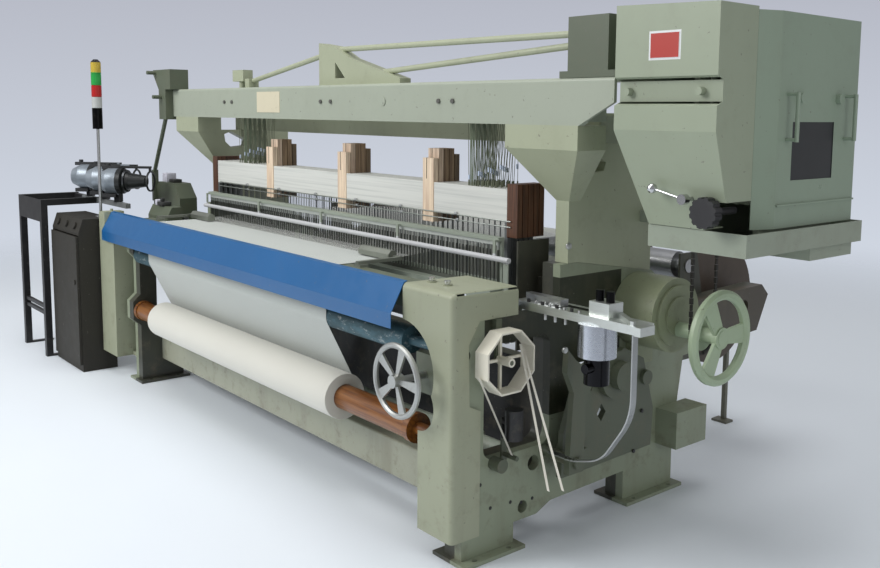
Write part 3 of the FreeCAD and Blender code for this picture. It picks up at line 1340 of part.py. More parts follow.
def heald_frame(number):
    """One heald frame: rails, stiles, flat healds, wooden spacers and its lifting wires."""
    k = size(number - 1)
    y0 = heald.front + heald.pitch * k
    y1 = y0 + heald.thick
    middle = (y0 + y1) / 2
    body = new_body()
    pad(body, "Y", y0, y1, box_outline(-heald.half, heald.half, heald.low, heald.rail_high),
        [box_outline(heald.stile - heald.half, heald.half - heald.stile, heald.sill,
                     heald.rail_low)])
    pitch = (heald.half * 2 - heald.stile * 2) / (heald.wires + 1)
    first = -heald.half + heald.stile + pitch
    wire = pad(body, "Y", middle - heald.wire_deep / 2, middle + heald.wire_deep / 2,
               box_outline(first, first + heald.wire, heald.sill - 1, heald.rail_low + 1))
    row = body.newObject("PartDesign::LinearPattern", "Healds")
    row.Originals = [wire]
    row.Direction = (origin_item(body, "X_Axis"), [""])
    bind(row, Length=pitch * (heald.wires - 1))
    row.Occurrences = int(float(heald.wires))
    body.Tip = row
    parts = [body]
    tops = {1: heald.outer_low, int(float(heald.count)): heald.last_high}
    top = tops.get(number, heald.inner_high)
    for x in (-heald.block_one, heald.block_two, heald.block_three):
        parts.append(block(x, x + heald.block_wide, y0 - heald.proud, y1 + heald.proud,
                           heald.block_low, top))
    for x in (-heald.end_out, heald.end_in - 6):
        parts.append(block(x, x + heald.end_out - heald.end_in + 6, y0 - heald.proud,
                           y1 + heald.proud, heald.end_low, heald.end_high))
    for group_x in (-beam.wire_left, beam.wire_right):
        for n in range(int(float(heald.ropes))):
            x = group_x + heald.rope_pitch * n
            parts.append(block(x - heald.rope, x + heald.rope, middle - heald.rope,
                               middle + heald.rope, heald.rail_high - 1, heald.rope_top))
    return piece(f"heald_frame_{number}", fuse(*parts))


for heald_number in range(1, int(float(heald.count)) + 1):
    heald_frame(heald_number)


def rapier_rail(side_way):
    """The machined rail beside the loom that the rapier head runs out on."""
    outer = guide.rail_right if side_way > 0 else guide.left_out
    x0, x1 = (guide.rail_left, outer) if side_way > 0 else (-outer, -guide.rail_left)
    rail = block(x0, x1, guide.rail_front, guide.rail_back, guide.rail_low, guide.rail_high)
    groove = block(x0 - 1, x1 + 1, guide.rail_back - guide.rail_slot * 2,
                   guide.rail_back - guide.rail_slot, guide.rail_high - guide.rail_slot,
                   guide.rail_high + 1)
    foot_x = (guide.rail_left, loom.frame_out) if side_way > 0 else (-loom.frame_out, -guide.rail_left)
    foot = block(foot_x[0], foot_x[1], guide.rail_front, guide.rail_back, side.breast_z,
                 guide.rail_low + 1)
    return [cut(rail, groove), foot]


def rail_clamp():
    """The clamp block on the rail with its two black knobs and the slanting tape plate."""
    clamp = block(guide.clamp_left, guide.clamp_right, guide.clamp_front, guide.rail_back,
                  guide.rail_high - 1, guide.clamp_high)
    slip = prism("Z", guide.rail_high - 1, guide.rail_high + guide.slip, [
        (guide.clamp_right - 1, guide.rail_back - guide.slip * 2),
        (guide.slip_end - guide.slip, guide.rail_front + 2), (guide.slip_end, guide.rail_front + 2),
        (guide.slip_end, guide.rail_front + guide.slip), (guide.clamp_right - 1, guide.rail_back)])
    knobs = [rod("Z", (x, guide.knob_y), guide.knob, guide.clamp_high - 1, guide.knob_high)
             for x in (guide.knob_one, guide.knob_two)]
    return [clamp, slip, *knobs]


def right_guide_rail():
    parts = rapier_rail(1)
    parts.append(block(guide.rail_right - 1, guide.rail_right + guide.end, guide.end_front,
                       guide.end_back, guide.rail_low, guide.rail_high))
    parts.append(block(guide.rear_left, guide.rear_right, guide.rail_back - 1, guide.rear_back,
                       guide.rail_low + 4, guide.rail_high - 4))
    return piece("right_guide_rail", fuse(*parts, *rail_clamp()))


def rapier_head(label, side_way):
    """A rapier head with its tapered nose, at rest on its rail outside the warp."""
    back_x = guide.head_start + guide.head_long
    outline = [
        (side_way * guide.head_start, guide.head_front + 12),
        (side_way * (guide.head_start + guide.nose), guide.head_front),
        (side_way * back_x, guide.head_front), (side_way * back_x, guide.head_back),
        (side_way * guide.head_start, guide.head_back)]
    body = prism("Z", guide.head_low, guide.head_high, outline)
    return piece(label, body)


right_guide_rail()
rapier_head("right_rapier_head", 1)
rapier_head("left_rapier_head", -1)

DRIVE = {
    "near": 1600, "far": 1626, "fork_near": 1690, "fork_far": 1716, "boss": 30, "boss_two": 22,
    "hole_y": 700, "hole_z": 462, "hole_half": 26, "strap": 8, "fork_y": 470, "fork_z": 340,
    "plate_y_one": 570, "plate_z_one": 330, "plate_y_two": 958, "plate_z_two": 560, "hub_x": 1868,
    "hub_y": 395, "hub": 68, "hub_low": 788, "hub_high": 905, "collar": 45, "collar_low": 690,
    "stem": 26, "pulley_y": 262, "pulley_low": 444, "pulley_high": 556, "pulley": 34,
    "pulley_x": 1596, "small_y": 215, "small_z": 350, "small": 26, "small_out": 1590, "knob": 17,
    "knob_out": 26, "bearing": 13, "disc_y": 760, "disc_z": 610, "disc": 95, "disc_out": 1700,
    "tape_front": 352, "tape_back": 378, "tape_thick": 5, "tape_x": 2056, "tape_top": 905,
    "tape_mid": 620, "tape_low": 400, "tape_end": 1680, "reel_near": 1562, "reel_far": 1630,
    "reel_y": 215, "reel_z": 742, "reel": 122, "reel_wall": 7, "reel_hub": 16, "reel_bore": 9.05,
    "reel_pin": 9, "reel_arm": 5, "strip": 13, "strip_thick": 1, "eye_y": 262, "eye_z": 374,
    "eye_x": 1606, "eye": 9,
}
drive = Sizes("drive", DRIVE)


def reel_post():
    """The pin of the reel, the eye below it and the small upright belt pulley beside them."""
    d = drive
    pin = rod("X", (d.reel_y, d.reel_z), d.reel_pin, d.reel_near - 4, d.reel_far)
    arm = block(d.reel_near - 14, d.reel_near - 2, d.reel_y - d.reel_pin * 1.5,
                d.reel_y + d.reel_pin * 1.5, d.reel_z - d.reel_pin * 1.5, side.breast_z - 12)
    tie = block(loom.frame_out, d.reel_near - 2, d.reel_y - d.reel_pin * 1.5,
                d.reel_y + d.reel_pin * 1.5, side.breast_low + 20, side.breast_z - 12)
    eye_arm = rod("X", (d.eye_y, d.eye_z), d.eye, loom.frame_out, d.eye_x + d.eye)
    middle = (d.pulley_low + d.pulley_high) / 2
    stem = rod("X", (d.pulley_y, middle), d.bearing, loom.frame_out + 1, d.pulley_x)
    strap = block(loom.frame_out, loom.frame_out + d.strap, d.pulley_y - d.bearing,
                  d.pulley_y + d.bearing, side.door_low - d.bearing * 2, middle + d.bearing)
    pulley = rod("Z", (d.pulley_x, d.pulley_y), d.pulley, d.pulley_low, d.pulley_high)
    return [fuse(pin, arm, tie), eye_arm, fuse(stem, strap, pulley)]


CAST = {
    "y_one": 480, "z_one": 248, "y_two": 1010, "z_two": 262, "y_three": 1020, "z_three": 420,
    "y_four": 950, "z_four": 640, "y_five": 830, "z_five": 700, "y_six": 700, "z_six": 660,
    "y_seven": 640, "z_seven": 560, "y_eight": 540, "z_eight": 560, "y_nine": 490, "z_nine": 420,
}
cast = Sizes("cast", CAST)

FORK = {
    "y_one": 428, "z_one": 300, "y_two": 506, "z_two": 300, "y_three": 512, "z_three": 560,
    "y_four": 560, "z_four": 650, "y_five": 585, "z_five": 770, "y_six": 545, "z_six": 715,
    "y_seven": 500, "z_seven": 700, "y_eight": 455, "z_eight": 730, "y_nine": 412, "z_nine": 775,
    "y_ten": 408, "z_ten": 690, "y_eleven": 446, "z_eleven": 610, "y_twelve": 438, "z_twelve": 500,
}
fork_arm = Sizes("fork", FORK)


def listed_outline(sizes, names):
    """The corners of a casting's outline from its (y_one, z_one, y_two ...) sizes."""
    values = [getattr(sizes, name) for name in names]
    return list(zip(values[::2], values[1::2]))


def right_drive_case():
    """The castings of the rapier drive outside the right frame: plate, fork arm and bosses."""
    d = drive
    diamond = [(d.hole_y - d.hole_half, d.hole_z), (d.hole_y, d.hole_z - d.hole_half * 1.4),
               (d.hole_y + d.hole_half, d.hole_z), (d.hole_y, d.hole_z + d.hole_half * 1.4)]
    plate = prism("X", d.near, d.far, listed_outline(cast, CAST), [diamond])
    fork = prism("X", d.fork_near, d.fork_far, listed_outline(fork_arm, FORK))
    bosses = [
        rod("X", (d.plate_y_one, d.plate_z_one), d.boss, loom.frame_out, d.fork_near - 20),
        rod("X", (d.plate_y_two, d.plate_z_two), d.boss, loom.frame_out, d.far + 18),
        rod("X", (d.fork_y, d.fork_z), d.boss_two, loom.frame_out, d.fork_far + 14),
        rod("X", (d.disc_y, d.disc_z), d.disc, d.far - 1, d.disc_out - 40),
        rod("X", (d.disc_y, d.disc_z), d.disc * 0.6, d.disc_out - 41, d.disc_out),
        rod("X", (d.small_y, d.small_z), d.small, loom.frame_out, d.small_out),
    ]
    return piece("right_drive_case", group(fuse(plate, fork, *bosses), *reel_post()))


def rapier_drive_hub():
    """The upright drive hub under the rail with its collar, and the belt pulley on its post."""
    d = drive
    hub = rod("Z", (d.hub_x, d.hub_y), d.hub, d.hub_low, d.hub_high)
    collar = rod("Z", (d.hub_x, d.hub_y), d.collar, d.collar_low, d.hub_low + 1)
    knob = rod("Y", (d.hub_x + d.knob / 2, d.hub_low - d.knob * 2), d.knob,
               d.hub_y - d.collar - d.knob_out, d.hub_y - d.collar + d.knob)
    return piece("rapier_drive_hub", fuse(hub, collar, knob))


def rapier_tape():
    """The perforated tape of the rapier, hanging from the rail in a wide curve."""
    d = drive
    path = [(d.tape_x, d.tape_top), (d.tape_x, d.tape_mid), (d.tape_x - 125, d.tape_low + 40),
            (d.tape_x - 260, d.tape_low), (d.tape_end, d.tape_low)]
    web = ribbon("Y", d.tape_front, d.tape_back, path, d.tape_thick, [230, 150, 200])
    return piece("rapier_tape", web)


def selvedge_reel():
    """The eight-sided white reel for the waste selvedge, open in the middle."""
    d = drive
    outer = [(d.reel * math.cos(math.radians(45 * k + 22.5)),
              d.reel * math.sin(math.radians(45 * k + 22.5))) for k in range(8)]
    inner = [((d.reel - d.reel_wall) * math.cos(math.radians(45 * k + 22.5)),
              (d.reel - d.reel_wall) * math.sin(math.radians(45 * k + 22.5))) for k in range(8)]
    body = new_body()
    pad(body, "X", 0, d.reel_far - d.reel_near, outer, [inner])
    hub = cut(rod("X", (0, 0), d.reel_hub, 0, d.reel_far - d.reel_near),
              rod("X", (0, 0), d.reel_bore, -1, d.reel_far - d.reel_near + 1))
    arm_reach = d.reel - d.reel_wall * 1.6
    arms = [block(0, d.reel_arm * 2, -d.reel_arm, d.reel_arm, d.reel_hub - 3, arm_reach),
            block(0, d.reel_arm * 2, -d.reel_arm, d.reel_arm, -arm_reach, 3 - d.reel_hub),
            block(0, d.reel_arm * 2, d.reel_hub - 3, arm_reach, -d.reel_arm, d.reel_arm),
            block(0, d.reel_arm * 2, -arm_reach, 3 - d.reel_hub, -d.reel_arm, d.reel_arm)]
    return piece("selvedge_reel", fuse(body, hub, *arms), (d.reel_near, d.reel_y, d.reel_z))


def selvedge_strips():
    """The three taut waste strips between the reel and the eyes below."""
    d = drive
    middle = (d.reel_near + d.reel_far) / 2
    one = prism("X", middle - d.strip / 2, middle + d.strip / 2, [
        (d.reel_y - d.reel - 2, d.reel_z - 40), (d.reel_y - d.reel - 1, d.reel_z - 40),
        (d.eye_y - d.eye, d.eye_z + d.eye + 2), (d.eye_y - d.eye - 1, d.eye_z + d.eye + 1)])
    two = prism("Y", d.reel_y + d.reel * 0.25, d.reel_y + d.reel * 0.25 + d.strip_thick * 2, [
        (d.reel_far + 3, d.reel_z + 66), (d.reel_far + 16, d.reel_z + 66),
        (d.reel_far + 168, d.eye_z - 60), (d.reel_far + 155, d.eye_z - 60)])
    three = prism("Y", d.reel_y + d.reel * 0.25 + 6, d.reel_y + d.reel * 0.25 + 6
                  + d.strip_thick * 2, [
        (d.reel_far + 3, d.reel_z + 66), (d.reel_far + 16, d.reel_z + 66),
        (d.reel_far + 232, d.eye_z - 40), (d.reel_far + 219, d.eye_z - 40)])
    return piece("selvedge_strips", group(one, two, three))


right_drive_case()
rapier_drive_hub()
rapier_tape()
selvedge_reel()
selvedge_strips()

TEMPLE = {
    "right_near": 520, "right_far": 750, "left_near": 1250, "left_far": 1020, "front": 305,
    "back": 349, "low": 993, "high": 1031, "bar_wide": 22, "mount_front": 120,
}
temple = Sizes("temple", TEMPLE)


def temples():
    """The two temples that hold the cloth's edges out, each on an arm from the breast beam."""
    t = temple
    sets = []
    for near, far, arm_x in ((t.right_near, t.right_far, t.right_far + 40),
                             (-t.left_near, -t.left_far, -t.left_near - 40)):
        case = prism("X", near, far, [
            (t.front, t.low), (t.back, t.low), (t.back, t.high - 12), (t.back - 12, t.high),
            (t.front + 14, t.high), (t.front, t.high - 16)])
        x0, x1 = arm_x - t.bar_wide / 2, arm_x + t.bar_wide / 2
        joint = block(far - 1, x1, t.back - 26, t.back - 8, t.low + 2, t.low + 18) \
            if float(arm_x) > float(far) else \
            block(x0, near + 1, t.back - 26, t.back - 8, t.low + 2, t.low + 18)
        arm = block(x0, x1, t.mount_front, t.back - 8, t.low + 2, t.low + 16)
        mount = block(x0 - 12, x1 + 12, t.mount_front, t.mount_front + 40, breast.beam_high,
                      t.low + 3)
        sets.append(fuse(case, joint, arm, mount))
    return piece("temples", group(*sets))


temples()

LEVER = {
    "front": 400, "back": 520, "left": 1988, "right": 1725, "high": 1872, "wing": 1845,
    "neck_left": 1905, "neck_low": 1560, "side": 1800, "step": 1748, "rod": 13, "rod_top": 1880,
    "rod_high": 1600, "rod_foot": 2110, "rod_low": 1209, "rod_y": 440, "case_left": 2150,
    "case_right": 1728, "case_front": 446, "case_back": 560, "case_low": 905, "case_mid": 1060,
    "case_high": 1150, "box_left": 1742, "box_right": 1450, "box_front": 246, "box_back": 338,
    "box_low": 902, "box_high": 1035, "box_cut": 60, "pin": 12, "pin_long": 55, "arm": 15,
}
lever = Sizes("lever", LEVER)


def left_drive_case():
    """The left rapier case on its rail, with the beam-end column and the slanting rod."""
    v = lever
    column = prism("Y", v.front, v.back, [
        (-v.left, v.wing), (-v.neck_left, v.step), (-v.neck_left, v.neck_low), (-v.side, v.neck_low),
        (-v.side, v.step), (-v.right, v.step), (-v.right, v.high), (-v.left, v.high)])
    pins = [rod("Y", (x, z), v.pin, v.front - v.pin_long, v.front + 1)
            for x, z in ((-v.left + v.pin * 3, v.high - v.pin * 1.5), (-v.neck_left + v.pin * 3, v.step
                                                                 - v.pin * 4))]
    bar = link_bar([(-v.rod_top, v.rod_y, v.rod_high), (-v.rod_foot, v.rod_y, v.rod_low)], v.rod)
    rapier_case = prism("Y", v.case_front, v.case_back, [
        (-v.case_left, v.case_low), (-v.case_right, v.case_low), (-v.case_right, v.case_mid),
        (-v.case_right - 90, v.case_high), (-v.case_left + 90, v.case_high),
        (-v.case_left, v.case_mid)])
    post = block(-v.rod_foot - v.arm, -v.rod_foot + v.arm, v.case_front - 20, v.case_front + 14,
                 v.case_mid - 40, v.rod_low + v.arm)
    post_foot = block(-v.rod_foot - v.arm, -v.rod_foot + v.arm, v.case_front - 1,
                      v.case_front + 40, v.case_mid - 40, v.case_high - 60)
    box_case = prism("X", -v.box_left, -v.box_right, [
        (v.box_front, v.box_low), (v.box_back, v.box_low), (v.box_back, v.box_high),
        (v.box_front + v.box_cut / 2, v.box_high), (v.box_front, v.box_high - v.box_cut)])
    rail = rapier_rail(-1)
    joiner = block(-v.case_left + 60, -v.case_right - 60, guide.rail_back - 1, v.case_front + 1,
                   guide.rail_low, guide.rail_high)
    tie = block(-v.box_left + 40, -loom.frame_out - 20, v.box_back - 1, guide.rail_front + 1,
                guide.rail_low, guide.rail_high)
    return piece("left_drive_case", fuse(column, *pins, bar, rapier_case, post, post_foot, box_case,
                                         *rail, joiner, tie))


left_drive_case()


# ---------------------------------------------------------------- dobby

DOBBY = {
    "left": 1911, "right": 2316, "front": 400, "crown": 1975, "crown_right": 1960,
    "ledge_high": 1730, "ledge_low": 1661, "ledge_in": 28, "chin": 1570, "toe": 1256, "toe_y": 495,
    "toe_left": 1996, "seam": 602, "sheet": 3, "side_right": 2350, "side_seam": 685,
    "side_back": 1181, "side_low": 1258, "side_high": 1950, "shelf": 1330, "shelf_out": 2356,
    "shelf_thick": 6, "tray_left": 1990, "tray_right": 2373, "tray_front": 500, "tray_back": 1220,
    "tray_low": 1180, "tray_wall": 5, "arm_in": 10, "low_arm": 1006, "low_arm_wide": 52,
    "lug_front": 930, "lug_back": 1210, "lug_low": 1130, "plate_a": 2040, "plate_b": 2290,
    "plate_thick": 22, "plate_front": 660, "plate_back": 1110, "plate_high": 1860, "tie": 18,
    "jacks": 5, "jack_pitch": 38, "jack_thick": 14, "shaft_bore": 20, "window_front": 770,
    "window_back": 1030, "window_low": 1412, "window_high": 1602, "window_deep": 2, "grip_one": 733,
    "grip_two": 1100, "grip_low": 1545, "grip_high": 1690, "grip": 7, "grip_leg": 6, "grip_out": 38,
    "catch": 17, "catch_one": 805, "catch_two": 1048, "catch_z": 1680, "catch_out": 16,
    "knob_x": 1955, "knob_two": 2241, "knob_z": 1695, "knob": 13, "knob_out": 22,
    "badge_left": 2056, "badge_right": 2169, "badge_low": 1799, "badge_high": 1878,
    "badge_thick": 1.5, "hand_x": 2263, "hand_z": 1318, "hand": 50, "hand_front": 420,
    "hand_back": 456, "hand_shaft": 12, "hand_end": 590, "recess_left": 2216, "recess_high": 1352,
    "lever_x": 2190, "lever_z": 1356, "ball_x": 2065, "ball_z": 1383, "ball": 17,
    "lever_front": 408, "lever_back": 432, "boss": 17, "pin": 7, "stem": 4, "gear_left": 1640,
    "gear_right": 1830, "gear_front": 455, "gear_back": 600, "gear_low": 1771, "gear_high": 1962,
    "base_left": 1600, "base_right": 1862,
}
dobby = Sizes("dobby", DOBBY)


def dobby_front_cover():
    """The front cover: pressed sheet with a ledge, sloping chin, knobs and a plain red plate."""
    d = dobby
    t = d.sheet

    def profile(inset, back):
        return [
            (d.front + inset, d.crown - inset), (back, d.crown - inset), (back, d.toe + inset),
            (d.toe_y + inset, d.toe + inset), (d.front + inset, d.chin),
            (d.front + inset, d.ledge_low - d.ledge_in * 0.4),
            (d.front + d.ledge_in + inset, d.ledge_low + inset),
            (d.front + d.ledge_in + inset, d.ledge_high - inset),
            (d.front + inset, d.ledge_high + d.ledge_in * 0.4)]

    outer = prism("X", d.left, d.right, profile(0, d.seam))
    inner = prism("X", d.left + t, d.right - t, profile(t, d.seam + 1))
    slant = prism("Y", d.front - 1, d.seam + 1, [
        (d.left - 1, d.toe - 1), (d.toe_left, d.toe - 1), (d.left - 1, d.chin)])
    crown = prism("Y", d.front - 1, d.seam + 1, [
        (d.left - 1, d.crown + 1), (d.left - 1, d.crown), (d.right + 1, d.crown_right),
        (d.right + 1, d.crown + 1)])
    recess = block(d.recess_left, d.right + 1, d.front - 1, d.seam + 1, d.toe - 1, d.recess_high)
    cheek = prism("Y", d.toe_y, d.seam, [
        (d.left + 6, d.chin - 10), (d.left + 9, d.chin - 10), (d.toe_left + 3, d.toe + 3),
        (d.toe_left, d.toe + 3)])
    pin_hole = rod("Y", (d.lever_x, d.lever_z), d.pin + 0.5, d.front - 1, d.seam + 1)
    knobs = [rod("Y", (x, d.knob_z), d.knob, d.front + d.ledge_in - d.knob_out,
                 d.front + d.ledge_in + 1) for x in (d.knob_x, d.knob_two)]
    badge = block(d.badge_left, d.badge_right, d.front - d.badge_thick, d.front + 1, d.badge_low,
                  d.badge_high)
    shell = cut(outer, inner, slant, crown, recess, pin_hole)
    return piece("dobby_front_cover", fuse(shell, cheek, *knobs, badge))


def grip_handle(y, low, high):
    """A round D-shaped pull handle standing out from the side cover."""
    d = dobby
    out = d.side_right + d.grip_out
    bar = rod("Z", (out, y), d.grip, low - d.grip, high + d.grip)
    legs = [rod("X", (y, z), d.grip_leg, d.side_right - 1, out) for z in (low, high)]
    return fuse(bar, *legs)


def dobby_side_cover():
    """The side and back cover with its window, two handles, two catches and a shelf strip."""
    d = dobby
    t = d.sheet

    def plan(inset, front):
        return [
            (d.left + inset, front), (d.right - inset, front), (d.side_right - inset, d.side_seam),
            (d.side_right - inset, d.side_back - inset), (d.left + inset, d.side_back - inset)]

    outer = prism("Z", d.side_low, d.side_high, plan(0, d.seam + 1))
    inner = prism("Z", d.side_low - 1, d.side_high - t, plan(t, d.seam - 1))
    window = block(d.side_right - d.window_deep, d.side_right + 1, d.window_front, d.window_back,
                   d.window_low, d.window_high)
    chain_slot = block(d.left - 1, d.left + t + 1, loom.shaft_y - wheel.hub * 1.2,
                       loom.shaft_y + wheel.hub * 1.2, chain.top - wheel.hub * 1.2,
                       chain.top + wheel.hub * 1.2)
    arm_slot = block(d.left - 1, d.left + t + 1, beam.rear_front + d.arm_in - t,
                     beam.rear_back - d.arm_in + t, arch.top + d.arm_in - t,
                     beam.rear_high - d.arm_in + t)
    handles = [grip_handle(y, d.grip_low, d.grip_high) for y in (d.grip_one, d.grip_two)]
    catches = [rod("X", (y, d.catch_z), d.catch, d.side_right - 1, d.side_right + d.catch_out)
               for y in (d.catch_one, d.catch_two)]
    shelf = block(d.side_right - 1, d.shelf_out, d.side_seam + 5, d.side_back, d.shelf,
                  d.shelf + d.shelf_thick)
    return piece("dobby_side_cover",
                 fuse(cut(outer, inner, window, chain_slot, arm_slot), *handles, *catches, shelf))


def dobby_base():
    """The base tray with its bracket arms, and the frame with the jack levers inside."""
    d = dobby
    w = d.tray_wall
    tray = block(d.tray_left, d.tray_right, d.tray_front, d.tray_back, d.tray_low, d.toe - 2)
    trough = block(d.tray_left + w, d.tray_right - w, d.tray_front + w, d.tray_back - w,
                   d.tray_low + w * 4, d.toe)
    lug = block(d.tray_left, d.tray_right - 30, d.lug_front, d.lug_back, d.lug_low, d.tray_low + 1)
    arms = [block(loom.frame_out, d.plate_a + 1, beam.rear_front + d.arm_in,
                  beam.rear_back - d.arm_in, arch.top + d.arm_in, beam.rear_high - d.arm_in),
            block(loom.frame_out, d.tray_left + 1, d.low_arm, d.low_arm + d.low_arm_wide,
                  d.tray_low + w, d.tray_low + d.low_arm_wide)]
    plates = [cut(block(x, x + d.plate_thick, d.plate_front, d.plate_back, d.tray_low + w,
                        d.plate_high),
                  rod("X", (loom.shaft_y, chain.top), d.shaft_bore, x - 1, x + d.plate_thick + 1))
              for x in (d.plate_a, d.plate_b)]
    ties = [block(d.plate_a + 1, d.plate_b + 1, y - d.tie, y + d.tie, z - d.tie, z + d.tie)
            for y, z in ((d.plate_front + 60, d.plate_high - 80), (d.plate_back - 60, d.plate_high - 80),
                         (d.plate_front + 60, d.toe + 90))]
    jacks = []
    for k in range(int(float(d.jacks))):
        x = d.plate_a + d.plate_thick + 15 + d.jack_pitch * k
        jacks.append(prism("X", x, x + d.jack_thick, [
            (d.plate_front + 40, d.toe + 70), (d.plate_front + 90, d.toe + 70),
            (d.plate_back - 40, d.plate_high - 100), (d.plate_back - 80, d.plate_high - 50),
            (d.plate_front + 40, d.plate_high - 60)]))
    return piece("dobby_base", fuse(cut(tray, trough), lug, *arms, *plates, *ties, *jacks))


def dobby_gearbox():
    """The small box on the top beam that carries the lifting linkage to the dobby."""
    d = dobby
    case = block(d.gear_left, d.gear_right, d.gear_front, d.gear_back, d.gear_low, d.gear_high)
    base = block(d.base_left, d.base_right, d.gear_front, d.gear_back, beam.high, d.gear_low + 1)
    return piece("dobby_gearbox", fuse(case, base))


def dobby_hand_knob():
    """The black fluted knob that turns the dobby by hand."""
    d = dobby
    knob = rod("Y", (0, 0), d.hand, d.hand_front, d.hand_back)
    shaft = rod("Y", (0, 0), d.hand_shaft, d.hand_back - 1, d.hand_end)
    flutes = []
    for k in range(12):
        angle = math.radians(30 * k)
        flutes.append(rod("Y", ((d.hand + 2) * math.cos(angle), (d.hand + 2) * math.sin(angle)), 7,
                          d.hand_front - 1, d.hand_back + 1))
    return piece("dobby_hand_knob", fuse(cut(knob, *flutes), shaft), (d.hand_x, 0, d.hand_z))


def dobby_lever():
    """The red-balled hand lever that reverses the dobby."""
    d = dobby
    middle = (d.lever_front + d.lever_back) / 2
    boss = rod("Y", (0, 0), d.boss, d.lever_front, d.lever_back)
    pin = rod("Y", (0, 0), d.pin, d.lever_back - 1, d.hand_end)
    stem = link_bar([(0, middle, 0), (d.ball_x - d.lever_x, middle, d.ball_z - d.lever_z)], d.stem)
    turns = [math.radians(30 * k) for k in range(7)]
    ball = turned("Y", [(-d.ball * math.cos(turn), d.ball * math.sin(turn)) for turn in turns])
    place(ball, d.ball_x - d.lever_x, middle, d.ball_z - d.lever_z)
    return piece("dobby_lever", fuse(boss, pin, stem, ball), (d.lever_x, 0, d.lever_z))


dobby_front_cover()
dobby_side_cover()
dobby_base()
dobby_gearbox()
dobby_hand_knob()
dobby_lever()


def push_button(label, x):
    """One push button, standing in its hole in the corner cover's top."""
    b = button
    cap_part = rod("Z", (0, 0), b.cap, 1, b.cap_out)
    stem = rod("Z", (0, 0), b.stem, -b.stem_long, 2)
    return piece(label, fuse(cap_part, stem), (x, b.y, guard.high + b.ring_out + b.travel))


push_button("start_button", button.start_x)
push_button("stop_button", button.stop_x)


# ---------------------------------------------------------------- writing the pieces

doc.recompute()
for thing in doc.Objects:
    if "Invalid" in thing.State or "Error" in thing.State:
        raise ValueError(f"{thing.Name} ({thing.Label}) failed: {thing.State}")
os.makedirs("parts", exist_ok=True)
for part in PIECES:
    if part.Shape.isNull() or not part.Shape.isValid():
        raise ValueError(f"{part.Label} has no valid shape")
    part.Shape.exportStep(f"parts/{part.Label}.step")
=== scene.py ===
import math

import bmesh
import bpy
from mathutils import Matrix, Vector, noise as field


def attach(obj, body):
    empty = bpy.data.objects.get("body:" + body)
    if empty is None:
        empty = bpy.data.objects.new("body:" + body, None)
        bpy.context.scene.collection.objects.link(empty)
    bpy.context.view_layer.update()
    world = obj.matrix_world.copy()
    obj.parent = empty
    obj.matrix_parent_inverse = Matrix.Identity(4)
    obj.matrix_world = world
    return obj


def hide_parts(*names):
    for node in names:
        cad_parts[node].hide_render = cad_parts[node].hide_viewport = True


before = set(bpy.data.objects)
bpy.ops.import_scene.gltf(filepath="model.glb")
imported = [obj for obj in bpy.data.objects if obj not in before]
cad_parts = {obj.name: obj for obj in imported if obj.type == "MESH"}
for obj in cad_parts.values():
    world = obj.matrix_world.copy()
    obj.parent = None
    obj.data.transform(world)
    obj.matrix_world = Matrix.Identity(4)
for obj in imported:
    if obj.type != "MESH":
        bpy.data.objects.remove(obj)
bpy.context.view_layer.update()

# Setting-out axes of the loom in millimetres: zero in the middle of the weaving width, at the
# weaver's side and on the floor.  SHIFT moves them to the part's own origin.
SHIFT = Vector((0.2525, -1.005, 0.0))

SPACER_X = (-675, 50, 740)          # left edges of the wooden spacers on the heald frames
END_PLANK_X = (-1350, 1285)         # left edges of the frames' end planks
CORD_X = (-962, 1038)               # left edges of the lifting cords
HEALD_Y, HEALD_PITCH = 510, 30      # middle of the first heald frame, and on to the next
FEEDER_X, FEEDER_Y = (-2520, -2230, -2000), 215
LAMP_POLE = (-1990, 40, 0)


def spot(x, y, z):
    return Vector((x, y, z)) / 1000 + SHIFT


# ---------------------------------------------------------------- camera, light and floor

def set_camera():
    camera = bpy.data.cameras.new("camera")
    camera.lens, camera.sensor_width = 38.39, 36.0
    camera.shift_x, camera.shift_y = -0.0403, -0.0699
    camera.clip_end = 100
    holder = bpy.data.objects.new("camera", camera)
    bpy.context.scene.collection.objects.link(holder)
    turn, dip, roll = math.radians(49.31), math.radians(6.65), math.radians(0.60)
    stand = Matrix.Translation(spot(4000, -2000, 1620))
    aim = Matrix.Rotation(turn, 4, "Z") @ Matrix.Rotation(math.pi / 2 - dip, 4, "X")
    holder.matrix_world = stand @ aim @ Matrix.Rotation(roll, 4, "Z")
    bpy.context.scene.camera = holder


def soft_lamp(name, place, size, watts):
    """A round soft lamp that shines on the middle of the loom."""
    lamp = bpy.data.lights.new(name, "AREA")
    lamp.shape, lamp.size, lamp.energy = "DISK", size, watts
    holder = bpy.data.objects.new(name, lamp)
    bpy.context.scene.collection.objects.link(holder)
    way = Vector((0, 0, 0.8)) - Vector(place)
    turn = way.to_track_quat("-Z", "Y").to_matrix().to_4x4()
    holder.matrix_world = Matrix.Translation(place) @ turn


# ---------------------------------------------------------------- finishes

class Value:
    """A number or colour inside a finish; arithmetic on it adds Math nodes."""

    def __init__(self, finish, socket):
        self.finish, self.socket = finish, socket

    def math(self, operation, *others):
        spots = dict(enumerate((self,) + others))
        return self.finish.add("ShaderNodeMath", {"operation": operation}, spots)

    def __add__(self, other):
        return self.math("ADD", other)

    def __sub__(self, other):
        return self.math("SUBTRACT", other)

    def __mul__(self, other):
        return self.math("MULTIPLY", other)

    def __lt__(self, other):
        return self.math("LESS_THAN", other)

    def __rsub__(self, other):
        return self.finish.add("ShaderNodeMath", {"operation": "SUBTRACT"}, {0: other, 1: self})

    def between(self, low, high):
        """Nought below low and one above high, with a smooth step between."""
        return self.finish.add("ShaderNodeMapRange", {"interpolation_type": "SMOOTHSTEP"},
                               {"Value": self, "From Min": low, "From Max": high})


